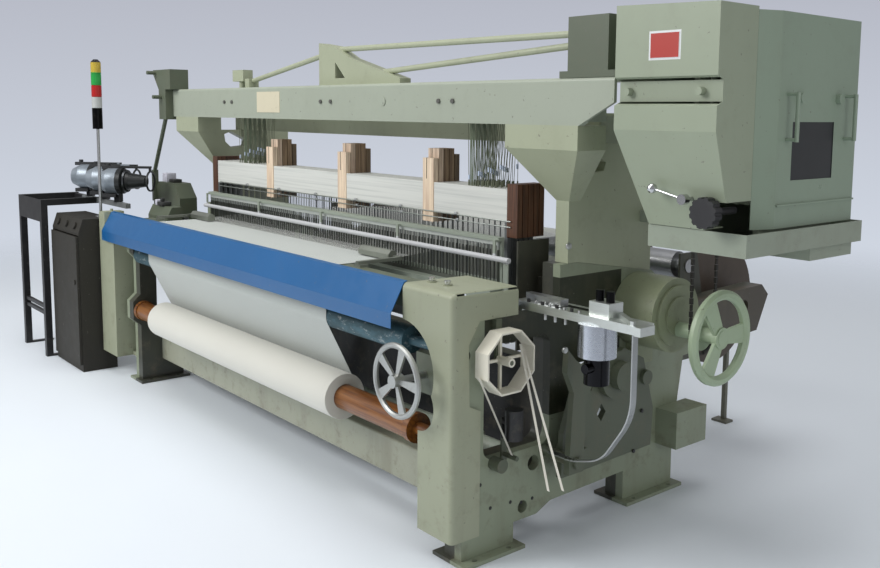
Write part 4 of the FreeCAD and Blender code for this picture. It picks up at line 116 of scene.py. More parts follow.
class Finish:
    """A material of its own on Object coordinates; fixed numbers go straight onto the shader."""

    def __init__(self, name, **fixed):
        self.material = bpy.data.materials.new(name)
        self.material.use_nodes = True
        self.tree = self.material.node_tree
        self.shader = self.tree.nodes["Principled BSDF"]
        for word, number in fixed.items():
            self.shader.inputs[word.replace("_", " ")].default_value = number
        self.place = self.add("ShaderNodeTexCoord", output="Object")
        self.axes = self.split(self.place, 3)

    def add(self, kind, settings=None, values=None, output=0):
        node = self.tree.nodes.new(kind)
        for word, setting in (settings or {}).items():
            setattr(node, word, setting)
        for key, value in (values or {}).items():
            if isinstance(value, Value):
                self.tree.links.new(value.socket, node.inputs[key])
            else:
                node.inputs[key].default_value = value
        return Value(self, node.outputs[output])

    def split(self, place, count):
        """The first coordinates of a place, each as a value."""
        return [self.add("ShaderNodeSeparateXYZ", {}, {0: place}, output=k)
                for k in range(count)]

    def noise(self, scale, detail=3.0, rough=0.55, stretch=(1, 1, 1)):
        place = self.place
        if stretch != (1, 1, 1):
            place = self.add("ShaderNodeMapping", {}, {"Vector": place, "Scale": stretch})
        return self.add("ShaderNodeTexNoise", {}, {"Vector": place, "Scale": scale,
                                                   "Detail": detail, "Roughness": rough})

    def mix(self, share, first, second):
        return self.add("ShaderNodeMix", {"data_type": "RGBA"}, {0: share, 6: first, 7: second},
                        output=2)

    def zone(self, low, high):
        """One inside the box between two corners in setting-out millimetres, nought outside."""
        inside = None
        for axis, a, b in zip(self.axes, spot(*low), spot(*high)):
            part = (axis - (a + b) / 2).math("ABSOLUTE") < abs(b - a) / 2
            inside = part if inside is None else inside * part
        return inside

    def bump(self, height, strength, distance):
        normal = self.add("ShaderNodeBump", {}, {"Height": height, "Strength": strength,
                                                 "Distance": distance})
        self.tree.links.new(normal.socket, self.shader.inputs["Normal"])

    def give(self, **sockets):
        for word, value in sockets.items():
            socket = self.shader.inputs[word.replace("_", " ")]
            if isinstance(value, Value):
                self.tree.links.new(value.socket, socket)
            else:
                socket.default_value = value
        return self.material


def tone(red, green, blue):
    return (red, green, blue, 1)


def shaded(colour, share):
    return tone(*[v * share for v in colour])


def paint_zones(f, shade, zones):
    """Give boxes of a node another colour; zones lists (low corner, high corner, colour)."""
    for low, high, other in zones:
        shade = f.mix(f.zone(low, high), shade, tone(*other))
    return shade


def enamel(name, colour, dirt, rough=0.38, orange_peel=0.12, grime=0.5, zones=(), coat=0.0,
           lines=()):
    """Machine paint with cloudy shade, settled dust, rubbed spots and a brushed-on skin.

    lines lists zones of bare metal or plastic laid on after the dirt."""
    f = Finish(name, Specular_IOR_Level=0.5, Coat_Weight=coat, Coat_Roughness=0.08)
    cloud = f.noise(1.7, 4)
    spots = f.noise(11, 6, 0.7)
    chips = f.noise(48, 3, 0.6)
    streak = f.noise(5, 4, 0.6, (1, 1, 0.12))
    shade = f.mix((cloud - 0.35) * 0.9, tone(*colour), shaded(colour, 0.82))
    shade = paint_zones(f, shade, zones)
    low_down = 1 - f.axes[2].between(0.02, 0.85)
    soil = (spots.between(0.5, 0.72) * 0.55 + streak.between(0.5, 0.75) * 0.5) * (
        low_down * 0.6 + grime * 0.5)
    shade = f.mix(soil, shade, tone(*dirt))
    shade = f.mix(chips.between(0.69, 0.72) * 0.6, shade, tone(0.14, 0.13, 0.11))
    shade = paint_zones(f, shade, lines)
    f.bump(f.noise(260, 2) * 0.5 + chips * 0.5 + spots * 0.6, orange_peel, 0.0008)
    return f.give(Base_Color=shade, Roughness=spots * 0.25 + (rough - 0.1))


def metal(name, colour, rough=0.32, metallic=1.0, streak=(1, 1, 1), rust=0.25, zones=()):
    """Worked metal: drawn or turned streaks, dull patches and a little rust or oil."""
    f = Finish(name)
    lines = f.noise(160, 3, 0.6, streak)
    patch = f.noise(7, 5, 0.65)
    stain = f.noise(23, 6, 0.7)
    shade = f.mix(lines * 0.5, tone(*colour), shaded(colour, 0.68))
    shade = paint_zones(f, shade, zones)
    worn = stain.between(0.55, 0.72) * rust
    shade = f.mix(worn, shade, tone(0.10, 0.065, 0.04))
    f.bump(lines, 0.10, 0.0004)
    return f.give(Base_Color=shade, Metallic=1 - worn if metallic > 0.9 else metallic,
                  Roughness=patch * 0.3 + lines * 0.1 + (rough - 0.2))


def moulded(name, colour, rough=0.45):
    """Moulded plastic with a fine grain and a dusty bloom."""
    f = Finish(name)
    dust = f.noise(9, 5, 0.65)
    grain = f.noise(600, 2)
    bloom = tone(*[v * 0.7 + 0.05 for v in colour])
    shade = f.mix(dust.between(0.45, 0.8) * 0.35, tone(*colour), bloom)
    f.bump(grain, 0.2, 0.0003)
    return f.give(Base_Color=shade, Roughness=dust * 0.2 + (rough - 0.1))


def varnished_wood(name, colour, dark, along):
    f = Finish(name, Coat_Weight=0.3, Coat_Roughness=0.15)
    return f.give(Base_Color=wood_shade(f, colour, dark, along),
                  Roughness=f.noise(22) * 0.2 + 0.3)


def wood_shade(f, colour, dark, along):
    """Wood with long grain along one axis, 0 for X and 2 for Z."""
    stretch = [14.0, 14.0, 14.0]
    stretch[along] = 0.7
    grain = f.noise(6, 8, 0.6, tuple(stretch))
    fine = f.noise(22, 4, 0.7, tuple(stretch))
    shade = f.mix(grain.between(0.35, 0.68), tone(*colour), tone(*dark))
    return f.mix(fine.between(0.55, 0.75) * 0.5, shade, shaded(dark, 0.55))


def heald_finish(name, block, block_dark):
    """A heald frame: drawn white rails, steel healds, wooden spacers, dark end planks, cords."""
    f = Finish(name)
    front, rear = 480, 680

    def upright(shade, left, right, low, high, colour):
        return f.mix(f.zone((left, front, low), (right, rear, high)), shade, colour)

    groove = f.noise(40, 3, 0.6, (0.03, 1, 2.2))
    rail = f.mix(groove.between(0.4, 0.7) * 0.6, tone(0.66, 0.67, 0.63), tone(0.46, 0.48, 0.45))
    # Below the top rail the healds get a dark grey: partly the dull steel, partly painted shade of
    # the space under the rails.
    shade = upright(rail, -1400, 1400, 600, 1191, tone(0.13, 0.14, 0.14))
    wood = wood_shade(f, block, block_dark, 2)
    for x in SPACER_X:
        shade = upright(shade, x - 1, x + 75, 1140, 1480, wood)
        # A dark line down each spacer is painted shade in its slot.
        shade = upright(shade, x + 24, x + 29, 1335, 1480, tone(0.05, 0.035, 0.02))
    plank = wood_shade(f, (0.12, 0.05, 0.025), (0.05, 0.02, 0.01), 2)
    for x in END_PLANK_X:
        shade = upright(shade, x, x + 65, 1130, 1350, plank)
    for x in CORD_X:
        shade = upright(shade, x, x + 40, 1322.5, 1700, tone(0.16, 0.2, 0.13))
    f.bump(groove + f.noise(90, 2) * 0.4, 0.25, 0.0006)
    return f.give(Base_Color=shade, Roughness=f.noise(9) * 0.2 + 0.3)


def woven(name, colour, rib=0.0011, across=True):
    """Cloth or yarn on its own flat map in metres: threads one rib apart, slubs, faint dust."""
    f = Finish(name, Sheen_Weight=0.25)
    flat = f.add("ShaderNodeUVMap", {"uv_map": "flat"})
    u, v = f.split(flat, 2)
    warp_line = (u * (math.tau / rib)).math("SINE")
    weft_line = (v * (math.tau / rib)).math("SINE")
    threads = warp_line * weft_line if across else warp_line
    thin = f.add("ShaderNodeMapping", {}, {"Vector": flat, "Scale": (3, 90, 1)})
    slub = f.add("ShaderNodeTexNoise", {}, {"Vector": thin, "Scale": 6, "Detail": 3})
    drift = f.noise(2.3, 4)
    shade = f.mix(threads * 0.25 + 0.3, tone(*colour), shaded(colour, 0.8))
    shade = f.mix(slub.between(0.5, 0.8) * 0.35, shade, shaded(colour, 0.74))
    shade = f.mix(drift.between(0.45, 0.8) * 0.3, shade, tone(*[v * 0.85 for v in colour]))
    f.bump(threads + slub * 0.8, 0.35, 0.0003)
    return f.give(Base_Color=shade, Roughness=drift * 0.15 + 0.75)


def worn_roller():
    """The take-up roller's faded teal grip cover, chalky where the cloth has rubbed it."""
    f = Finish("grip_cover")
    rub = f.noise(9, 6, 0.7, (0.35, 1, 1))
    fine = f.noise(60, 4, 0.7, (0.4, 1, 1))
    shade = f.mix(rub.between(0.45, 0.62), tone(0.02, 0.06, 0.075), tone(0.05, 0.12, 0.15))
    shade = f.mix(fine.between(0.56, 0.7) * 0.6, shade, tone(0.42, 0.45, 0.44))
    f.bump(fine, 0.4, 0.001)
    return f.give(Base_Color=shade, Roughness=rub * 0.2 + 0.5)


def feeder_finish():
    """The yarn feeders: grey-blue cast casing, and black works at the far end."""
    f = Finish("feeder_casing")
    along = None
    for x in FEEDER_X:
        near = f.zone((x - 185, 0, 1000), (x + 185, 420, 1300))
        middle = spot(x, FEEDER_Y, 0)
        reach = ((f.axes[0] - middle.x) + (f.axes[1] - middle.y)) * 0.7071
        part = near * (reach < -0.05)
        along = part if along is None else along.math("MAXIMUM", part)
    spots = f.noise(14, 4)
    case = f.mix(spots.between(0.4, 0.7) * 0.6, tone(0.30, 0.34, 0.38), tone(0.16, 0.19, 0.22))
    shade = f.mix(along, tone(0.012, 0.014, 0.014), case)
    shade = f.mix(f.zone((-2700, 0, 1000), (-2000, 500, 1076)), shade, tone(0.01, 0.011, 0.012))
    f.bump(f.noise(200, 2), 0.15, 0.0006)
    return f.give(Base_Color=shade, Roughness=spots * 0.2 + 0.3, Metallic=along * 0.5)


def lamp_finish():
    """The stacked lamps: coloured lenses with fine upright ribs."""
    f = Finish("lamp_lenses", Transmission_Weight=0.15)
    pole, rib_count = spot(*LAMP_POLE), 60
    bearing = (f.axes[0] - pole.x).math("ARCTAN2", f.axes[1] - pole.y)
    ribs = (bearing * rib_count).math("SINE")
    shade = tone(0.015, 0.015, 0.016)
    lenses = ((1627, 1694, (0.62, 0.64, 0.62)), (1694, 1767, (0.55, 0.012, 0.012)),
              (1767, 1845, (0.02, 0.42, 0.07)), (1845, 1908, (0.68, 0.5, 0.06)))
    for low, high, colour in lenses:
        lens = f.mix(ribs * 0.25 + 0.3, tone(*colour), shaded(colour, 0.6))
        shade = f.mix(f.zone((-2060, -30, low), (-1920, 110, high)), shade, lens)
    f.bump(ribs, 0.3, 0.0008)
    return f.give(Base_Color=shade, Roughness=f.noise(8) * 0.1 + 0.2)


# ---------------------------------------------------------------- shapes

def new_piece(name, bm, finish, body="loom_frame", round_faces=False):
    """Give a finished shape its mesh, its material and the body that it moves with."""
    bmesh.ops.recalc_face_normals(bm, faces=bm.faces)
    mesh = bpy.data.meshes.new(name)
    bm.to_mesh(mesh)
    bm.free()
    if round_faces:
        mesh.shade_smooth()
        mesh.set_sharp_from_angle(angle=math.radians(38))
    mesh.materials.append(finish)
    piece = bpy.data.objects.new(name, mesh)
    bpy.context.scene.collection.objects.link(piece)
    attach(piece, body)
    return piece


def bar(bm, low, high):
    """A straight bar between two opposite corners in setting-out millimetres."""
    a, b = spot(*low), spot(*high)
    size = Matrix.Diagonal(b - a).to_4x4()
    bmesh.ops.create_cube(bm, size=1, matrix=Matrix.Translation((a + b) / 2) @ size)


def soften(bm, offset, segments=1):
    """Break every edge of the bars or heads that are in bm."""
    bmesh.ops.bevel(bm, geom=bm.edges[:], affect="EDGES", offset=offset, segments=segments,
                    profile=0.5, material=-1)


def rod(bm, start, end, radius, sides=12):
    """A round bar from start to end."""
    a, b = spot(*start), spot(*end)
    turn = (b - a).to_track_quat("Z", "Y").to_matrix().to_4x4()
    bmesh.ops.create_cone(
        bm, cap_ends=True, segments=sides, radius1=radius / 1000, radius2=radius / 1000,
        depth=(b - a).length, matrix=Matrix.Translation((a + b) / 2) @ turn)


def turned(bm, centre, profile, steps):
    """Turn a closed profile of (along, radius) about a line across the loom."""
    way, side = Vector((1, 0, 0)), Vector((0, 0, 1))
    mid = spot(*centre)
    verts = [bm.verts.new(mid + way * along / 1000 + side * radius / 1000)
             for along, radius in profile]
    edges = [bm.edges.new((a, b)) for a, b in zip(verts, verts[1:] + verts[:1])]
    bmesh.ops.spin(bm, geom=verts + edges, cent=mid, axis=way, angle=math.tau, steps=steps,
                   use_merge=True)


def densely(path, step):
    """The same path with more points on its straight stretches."""
    points = [path[0]]
    for a, b in zip(path, path[1:]):
        count = max(1, round((b - a).length / step))
        points += [a.lerp(b, k / count) for k in range(1, count + 1)]
    return points


def rounded_path(points, bends, arc_steps=8):
    """Points of (y, z) in millimetres along a line whose corners are rounded by the bend radii."""
    path = [Vector(points[0])]
    for before, corner, after, bend in zip(points, points[1:], points[2:], bends):
        corner = Vector(corner)
        back, on = (Vector(before) - corner).normalized(), (Vector(after) - corner).normalized()
        half = back.angle(on) / 2
        centre = corner + (back + on).normalized() * bend / math.sin(half)
        start = corner + back * bend / math.tan(half) - centre
        swing = -start.angle_signed(corner + on * bend / math.tan(half) - centre)
        for k in range(arc_steps + 1):
            path.append(centre + Matrix.Rotation(swing * k / arc_steps, 2) @ start)
    return path + [Vector(points[-1])]


def web(bm, left, right, path, columns, keep_every=1):
    """A web of cloth or threads across x that follows a (y, z) path, with a flat map in metres.

    With keep_every above one only every so many columns are left, as threads.  The web's own
    length in metres is given back."""
    steps = [0.0]
    for a, b in zip(path, path[1:]):
        steps.append(steps[-1] + (b - a).length / 1000)
    bmesh.ops.create_grid(bm, x_segments=columns, y_segments=len(path) - 1, size=0.5)
    flat = bm.loops.layers.uv.new("flat")
    rows = {}
    for vert in bm.verts:
        row = round((vert.co.y + 0.5) * (len(path) - 1))
        share = vert.co.x + 0.5
        rows[vert] = (share * (right - left) / 1000, steps[row])
        vert.co = spot(left + share * (right - left), path[row][0], path[row][1])
    for face in bm.faces:
        for loop in face.loops:
            loop[flat].uv = rows[loop.vert]
    if keep_every > 1:
        pitch = (right - left) / columns / 1000
        spare = [face for face in bm.faces if round(
            (face.calc_center_median().x - spot(left, 0, 0).x) / pitch - 0.5) % keep_every]
        bmesh.ops.delete(bm, geom=spare, context="FACES")
    return steps[-1]


# ---------------------------------------------------------------- cloth and warp

def cloth_and_roll():
    """The cloth on its way over the breast and the take-up roller, and the roll that it feeds."""
    bm = bmesh.new()
    path = rounded_path([(362, 987.6), (26.3, 987.6), (26.3, 757.25), (163.4, 482.3)], [24, 54])
    long = web(bm, -1198, 698, densely(path, 14), 90)
    for vert in bm.verts:
        vert.co.z += (field.noise(vert.co * 3) - 0.4) * 0.0003
    # The running cloth gets a darker, greener grey than the roll of the same cloth: painted shade
    # on the sheet.
    sheet = new_piece("cloth_web", bm, woven("cloth_face_shaded", (0.47, 0.5, 0.47)), round_faces=True)
    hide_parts("woven_cloth")

    bm = bmesh.new()
    ends = [(-1119, 53), (-1119, 70), (-1120, 82), (-1118.5, 97), (-1116, 97.6)]
    middle = [(-1110 + 75 * k, 97.7) for k in range(25)]
    other = [(758, 97.6), (760.5, 97), (762, 84), (761, 70), (761, 53)]
    centre = (0, 75, 438)
    turned(bm, centre, ends + middle + other, 56)
    roll_y, roll_z = spot(*centre).yz
    wound_face = 0.09
    for vert in bm.verts:
        out = Vector((0, vert.co.y - roll_y, vert.co.z - roll_z))
        if out.length > wound_face:
            vert.co -= out.normalized() * (field.noise(vert.co * 4) + 1) * 0.0006
    roll = new_piece("cloth_roll_wound", bm, woven("rolled_cloth", (0.66, 0.65, 0.58), 0.0013),
                     body="cloth_beam", round_faces=True)
    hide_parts("cloth_roll")


def warp_threads():
    """The warp from the weaver's side back to the warp beam, as threads with gaps between."""
    bm = bmesh.new()
    path = rounded_path([(362.5, 987.9), (665, 1006.8), (1463.3, 1006.8), (1815.8, 968.9)],
                        [400, 60.5], 6)
    long = web(bm, -1197.686, 701.83, densely(path, 90), 533, keep_every=2)
    threads = new_piece("warp_threads", bm, woven("warp_yarn", (0.58, 0.6, 0.56), 0.0036, False))
    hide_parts("warp_sheet")


def waste_strips():
    """Three taut strips of cut-off selvedge: each runs down a (y, z) line and leans aside in x."""
    finish = woven("selvedge_tape", (0.7, 0.67, 0.58), 0.0012)
    runs = [(1589.5, 1602.5, (91, 702), (253, 385), 0),
            (1633, 1646, (246.5, 808), (246.5, 314), 152),
            (1633, 1646, (252.5, 808), (252.5, 334), 216)]
    for number, (left, right, start, end, lean) in enumerate(runs, 1):
        bm = bmesh.new()
        path = densely([Vector(start), Vector(end)], 24)
        long = web(bm, left, right, path, 3)
        real = math.hypot(long, lean / 1000)
        low, high = spot(0, *end).z, spot(0, *start).z
        for vert in bm.verts:
            vert.co.x += lean / 1000 * (high - vert.co.z) / (high - low)
        flat = bm.loops.layers.uv["flat"]
        for face in bm.faces:
            for loop in face.loops:
                loop[flat].uv.y *= real / long
        strip = new_piece(f"selvedge_strip_{number}", bm, finish)
    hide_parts("selvedge_strips")


# ---------------------------------------------------------------- healds and their wires

def heald_fittings():
    """Two thin rods with hook clips in front of the first frame."""
    bm = bmesh.new()
    for z in (1174, 1197):
        rod(bm, (-1247, 492.5, z), (1314, 492.5, z), 2.6, 8)
    new_piece("heald_rods", bm, metal("heald_rod_steel", (0.5, 0.53, 0.5)), "heald_frame_1", True)
    bm = bmesh.new()
    for x in (-910, -545, -162, 208, 571, 965):
        for dx, z in ((0, 1193), (12, 1168)):
            bar(bm, (x + dx, 488.5, z), (x + dx + 16, 499.8, z + 5))
            bar(bm, (x + dx, 488.5, z), (x + dx + 16, 490.5, z + 13))
            bar(bm, (x + dx + 4, 489, z + 11), (x + dx + 12, 499.8, z + 14))
    soften(bm, 0.0006)
    new_piece("heald_hooks", bm, metal("hook_clips", (0.62, 0.64, 0.64), rough=0.4),
              "heald_frame_1")


# x of each wire's foot on a heald frame and of its top, on the two sides of the loom
WIRE_RUNS = {
    "left": [(-1010, -1020), (-990, -1000), (-970, -975), (-950, -945), (-930, -931),
             (-910, -936), (-890, -830), (-870, -822), (-850, -812)],
    "right": [(1040, 1030), (1060, 1040), (1080, 1050), (1100, 1064), (1120, 1172), (1140, 1180),
              (1160, 1188), (1180, 1196), (1200, 1204)],
}


def lifting_wires():
    """Thin wires from each heald frame up past the drums in the top beam, with tags and sleeves."""
    foot_z, top_z, sleeve_z = 1321, 1640, 1345
    cord = metal("lifting_wire", (0.2, 0.22, 0.15), rough=0.45, metallic=0.6, rust=0.5)
    tag = moulded("wire_tag", (0.5, 0.58, 0.72))
    for number in range(5):
        y = HEALD_Y + HEALD_PITCH * number
        wires, tags = bmesh.new(), bmesh.new()
        for runs in WIRE_RUNS.values():
            for k, (foot, top) in enumerate(runs):
                aside = (k % 3 - 1) * 3
                start = (foot, y + aside, foot_z)
                rod(wires, start, (top, y, top_z), 1.3, 6)
                rod(wires, start, (foot, y + aside, sleeve_z), 3.2, 8)
                if (k + number) % 3 == 0:
                    low = 1347 + 6 * k
                    bar(tags, (foot - 4, y - 4, low), (foot + 4, y + 4, low + 20))
        soften(tags, 0.001)
        body = f"heald_frame_{number + 1}"
        new_piece(f"lifting_wires_{number + 1}", wires, cord, body, True)
        new_piece(f"wire_tags_{number + 1}", tags, tag, body)


# ---------------------------------------------------------------- small fittings

def bolt_heads(name, places, radius, finish, proud=8, along=0, sides=6):
    """Bolt heads on a face; each place is the middle of the head's foot, sunk in a little."""
    sunk = 0.5 if proud > 0 else -0.5
    bm = bmesh.new()
    for x, y, z in places:
        start, end = [x, y, z], [x, y, z]
        start[along] -= sunk
        end[along] += proud
        rod(bm, start, end, radius, sides)
    soften(bm, min(radius, abs(proud)) * 0.00018, 2)
    new_piece(name, bm, finish, round_faces=True)


def left_end_fittings():
    """A pale junction box on the left rapier case and dark valve blocks in front of it."""
    boxes = {
        "junction_box": (moulded("junction_box_pale", (0.6, 0.6, 0.68)),
                         [((-2050, 468, 1149), (-1980, 534, 1206)),
                          ((-1694, 270, 1034), (-1662, 316, 1068))]),
        "valve_blocks": (moulded("valve_block_dark", (0.03, 0.032, 0.03)),
                         [((-1640, 262, 1034), (-1560, 322, 1060)),
                          ((-1950, 470, 1149), (-1880, 530, 1172)),
                          ((-1622, 274, 1058), (-1600, 296, 1082))]),
    }
    for name, (finish, corners) in boxes.items():
        bm = bmesh.new()
        for low, high in corners:
            bar(bm, low, high)
        soften(bm, 0.004, 2)
        new_piece(name, bm, finish, round_faces=True)


def feeder_works():
    """Yarn guides, arms and covers on the three feeders."""
    bm = bmesh.new()
    y = FEEDER_Y
    for x in FEEDER_X:
        start = len(bm.verts)
        bar(bm, (x - 160, y - 12, 1240), (x - 20, y + 12, 1262))
        bar(bm, (x - 20, y - 7, 1246), (x + 158, y + 7, 1256))
        rod(bm, (x + 150, y, 1250), (x + 150, y, 1226), 6, 8)
        rod(bm, (x - 120, y, 1260), (x - 120, y, 1278), 14, 12)
        bar(bm, (x - 150, y - 40, 1062), (x - 60, y + 40, 1086))
        bm.verts.ensure_lookup_table()
        bmesh.ops.rotate(bm, verts=bm.verts[start:], cent=spot(x, y, 0),
                         matrix=Matrix.Rotation(math.pi / 4, 3, "Z"))
    soften(bm, 0.0015)
    new_piece("feeder_works", bm, moulded("feeder_black", (0.02, 0.021, 0.023)))


# ---------------------------------------------------------------- which finish each piece wears

GREEN = (0.37, 0.4, 0.28)
GRIME = (0.13, 0.115, 0.075)
DARK_EARTH = (0.03, 0.026, 0.018)
BLACK = (0.012, 0.012, 0.013)
CREAM = (0.62, 0.57, 0.42)
WHITE = (0.72, 0.74, 0.74)
STEEL = (0.5, 0.51, 0.52)


def bolt_zone(x):
    """The dark paint zone behind a pair of bolts on the front top beam."""
    return (x - 70, 430, 1640), (x + 70, 449.6, 1700), (0.1, 0.1, 0.09)


def dress_nodes():
    """Make every finish and put it on the nodes of the frame that wear it.

    A zone is (low corner, high corner, colour) in setting-out millimetres."""
    beam_bolts = [bolt_zone(x) for x in (-1028, 22, 955)]
    plate = ((-700, 440, 1600), (-420, 449.5, 1730), CREAM)
    rear_dark = ((-1600, 1400, 0), (1700, 2100, 1200), (0.07, 0.06, 0.045))
    # The right side frame's outer face is painted near black where the drive machinery stands.
    machinery_dark = ((1437, 165, 470), (1560, 900, 1000), (0.022, 0.026, 0.014))
    # The side frames' faces inside the loom are painted near black as painted shade.
    inner_painted_shade = ((-1500, 0, -1), (1500, 2100, 1200), (0.05, 0.052, 0.04))
    pairs = [
        (enamel("green_enamel", GREEN, GRIME), "right_arch left_arch top_beam_rear stay_bars"),
        (enamel("sley_enamel", (0.3, 0.34, 0.28), GRIME, lines=[
            ((-1500, 405, 1040), (1500, 435, 1075), STEEL)]), "sley"),
        (enamel("cover_enamel", (0.32, 0.34, 0.24), GRIME, grime=0.3),
         "right_front_cover left_front_cover"),
        (enamel("drum_enamel", (0.27, 0.3, 0.19), GRIME, grime=0.8), "clutch_drum"),
        (enamel("shaft_enamel", (0.37, 0.46, 0.31), GRIME, grime=0.4, zones=[
            ((-1700, 400, 300), (1925, 900, 900), (0.1, 0.1, 0.09))]), "main_shaft"),
        (enamel("case_enamel", (0.1, 0.12, 0.08), GRIME, grime=0.8),
         "take_up_gear_case left_drive_case dobby_gearbox breast_beam"),
        (enamel("frame_enamel", (0.25, 0.285, 0.2), GRIME, grime=0.9,
                zones=[machinery_dark, rear_dark, inner_painted_shade]), "right_side_frame left_side_frame"),
        (enamel("beam_low_enamel", (0.33, 0.34, 0.26), GRIME, grime=0.7), "front_cross_beam"),
        # The middle girt is painted black as painted shade inside the loom.
        (enamel("rear_enamel", (0.12, 0.12, 0.09), GRIME, grime=0.9, zones=[
            ((-1500, 550, 0), (1500, 570, 1000), BLACK)]), "rear_supports"),
        (enamel("beam_enamel", (0.35, 0.385, 0.31), GRIME, grime=0.25, zones=[plate] + beam_bolts),
         "top_beam_front"),
        (enamel("dobby_front_enamel", (0.31, 0.355, 0.26), GRIME, grime=0.25, lines=[
            ((2050, 300, 1793), (2175, 1100, 1884), WHITE),
            ((2057, 300, 1800), (2168, 1100, 1877), (0.42, 0.03, 0.02))]), "dobby_front_cover"),
        (enamel("dobby_side_enamel", (0.26, 0.33, 0.25), GRIME, grime=0.25, rough=0.3, lines=[
            ((2340, 770, 1412), (2700, 1030, 1602), (0.02, 0.022, 0.024))]), "dobby_side_cover"),
        (enamel("dobby_base_enamel", (0.3, 0.34, 0.27), GRIME, grime=0.6), "dobby_base"),
        (enamel("drive_case_enamel", (0.09, 0.105, 0.07), GRIME, grime=1.0, zones=[
            ((1540, 220, 436), (1640, 304, 564), BLACK),
            ((1700, 380, 740), (1735, 400, 820), (0.6, 0.62, 0.6))]), "right_drive_case"),
        (enamel("blue_enamel", (0.002, 0.095, 0.27), (0.02, 0.09, 0.2), rough=0.3,
                orange_peel=0.03, grime=0.1, coat=0.25), "breast_cover"),
        (enamel("cabinet_enamel", (0.016, 0.014, 0.009), (0.03, 0.026, 0.018), rough=0.6),
         "control_cabinet cabinet_door"),
        (enamel("stand_enamel", (0.008, 0.008, 0.009), (0.06, 0.055, 0.05), rough=0.4, zones=[
            ((-2700, 150, 1000), (-1850, 230, 1050), (0.16, 0.17, 0.17))]), "feeder_stand"),
        (metal("worn_steel", (0.52, 0.53, 0.54), zones=[
            ((-2050, -20, 1497), (-1930, 100, 1640), BLACK)]),
         "signal_pole back_rest right_rapier_head left_rapier_head"),
        (metal("temple_steel", (0.36, 0.38, 0.33), rough=0.45), "temples"),
        (metal("feeder_disc_steel", (0.1, 0.105, 0.11), rough=0.35),
         "feeder_disc_1 feeder_disc_2 feeder_disc_3"),
        # The reed's dents are a dark grey-green: partly the dull steel, partly painted shade behind
        # the heald rails; the light band on top is the reed cap.
        (metal("reed_steel", (0.11, 0.12, 0.1), rough=0.5, metallic=0.3, zones=[
            ((-1400, 400, 1085), (1400, 500, 1200), (0.5, 0.53, 0.5))]), "reed"),
        (metal("oiled_steel", (0.07, 0.068, 0.062), rough=0.42, rust=0.5),
         "dobby_chain dobby_sprocket"),
        (metal("rail_aluminium", (0.72, 0.75, 0.72), rough=0.38, streak=(0.02, 1, 1), rust=0.08,
               zones=[((1850, 100, 984), (1950, 900, 1100), BLACK),
                      # A black line along the rail's top is painted shade of the gap in the rail.
                      ((1540, 404, 930), (1845, 434, 936), BLACK)]), "right_guide_rail"),
        (metal("wheel_silver", (0.5, 0.51, 0.49), rough=0.45, rust=0.2), "take_up_handwheel"),
        (metal("hub_steel", (0.55, 0.58, 0.64), rough=0.25, rust=0.08, zones=[
            ((1300, 100, 690), (2000, 900, 788), (0.02, 0.02, 0.022))]), "rapier_drive_hub"),
        (metal("push_button_steel", (0.75, 0.76, 0.76), rough=0.25, rust=0.02),
         "start_button stop_button"),
        (metal("lever_chrome", (0.6, 0.61, 0.62), rough=0.18, rust=0.05), "dobby_lever"),
        (metal("tape_steel", (0.42, 0.43, 0.43), rough=0.3, rust=0.15), "rapier_tape"),
        (varnished_wood("varnished_tube", (0.25, 0.09, 0.012), (0.12, 0.035, 0.006), 0),
         "cloth_beam"),
        (moulded("black_moulding", (0.018, 0.018, 0.02)), "dobby_hand_knob"),
        (moulded("reel_cream", (0.74, 0.71, 0.6)), "selvedge_reel"),
        (enamel("warp_beam_enamel", (0.07, 0.05, 0.035), DARK_EARTH, grime=0.7, lines=[
            ((-1216, 1400, 0), (729, 2600, 1300), (0.5, 0.51, 0.46))]), "warp_beam"),
        (worn_roller(), "take_up_roller"),
        (feeder_finish(), "weft_feeders"),
        (lamp_finish(), "signal_lamps"),
        # The spacers are one wood on every frame; their colour darkens frame by frame towards the
        # back as painted shade.
        (heald_finish("heald_front", (0.85, 0.7, 0.52), (0.62, 0.46, 0.33)), "heald_frame_1"),
        (heald_finish("heald_second_shaded", (0.75, 0.6, 0.45), (0.42, 0.3, 0.22)), "heald_frame_2"),
        (heald_finish("heald_rear_shaded", (0.32, 0.22, 0.13), (0.16, 0.1, 0.06)),
         "heald_frame_3 heald_frame_4"),
        (heald_finish("heald_last_shaded", (0.2, 0.14, 0.08), (0.1, 0.065, 0.04)), "heald_frame_5"),
    ]
    for finish, nodes in pairs:
        for node in nodes.split():
            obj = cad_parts[node]
            obj.data.materials.clear()
            obj.data.materials.append(finish)


def small_fittings():
    """Bolts and sockets on the arch, the guide rail and the drive case, and dark discs on the side
    frame as painted shade of its holes.
    """
    bright = metal("bright_bolts", (0.6, 0.61, 0.6), rough=0.35)
    bolt_heads("arch_bolt", [(1538, 584, 1119)], 15, bright)
    dark = moulded("dark_sockets_and_hole_shade", (0.015, 0.015, 0.014))
    # The six dark discs almost flush on the side frame are painted shade of its holes.
    holes = [(1538, y, z) for y, z in ((92, 199), (203, 179), (303, 175), (359, 159), (417, 160),
                                       (152, 280))]
    bolt_heads("frame_hole_shade", holes, 7, dark, 1.2, sides=16)
    bolt_heads("fork_bolt", [(1716, 389, 780)], 12, bright, 10, sides=12)
    row = [1562 + 36 * k for k in range(8)]
    bolt_heads("rail_sockets", [(x, 358, 935) for x in row[::2]], 7, dark, 12, 2, 12)
    bolt_heads("rail_bolts", [(x, 358, 935) for x in row[1::2]], 6, bright, 9, 2)
    bolt_heads("rail_underside_bolts", [(x, 357, 905) for x in (1650, 1700, 1750)], 6, bright,
               -22, 2)
    plate = [(1626, y, z) for y, z in ((590, 260), (900, 260), (945, 420), (560, 420))]
    bolt_heads("drive_plate_bolts", plate, 9, dark, 7)


# ---------------------------------------------------------------- floor, world and the run

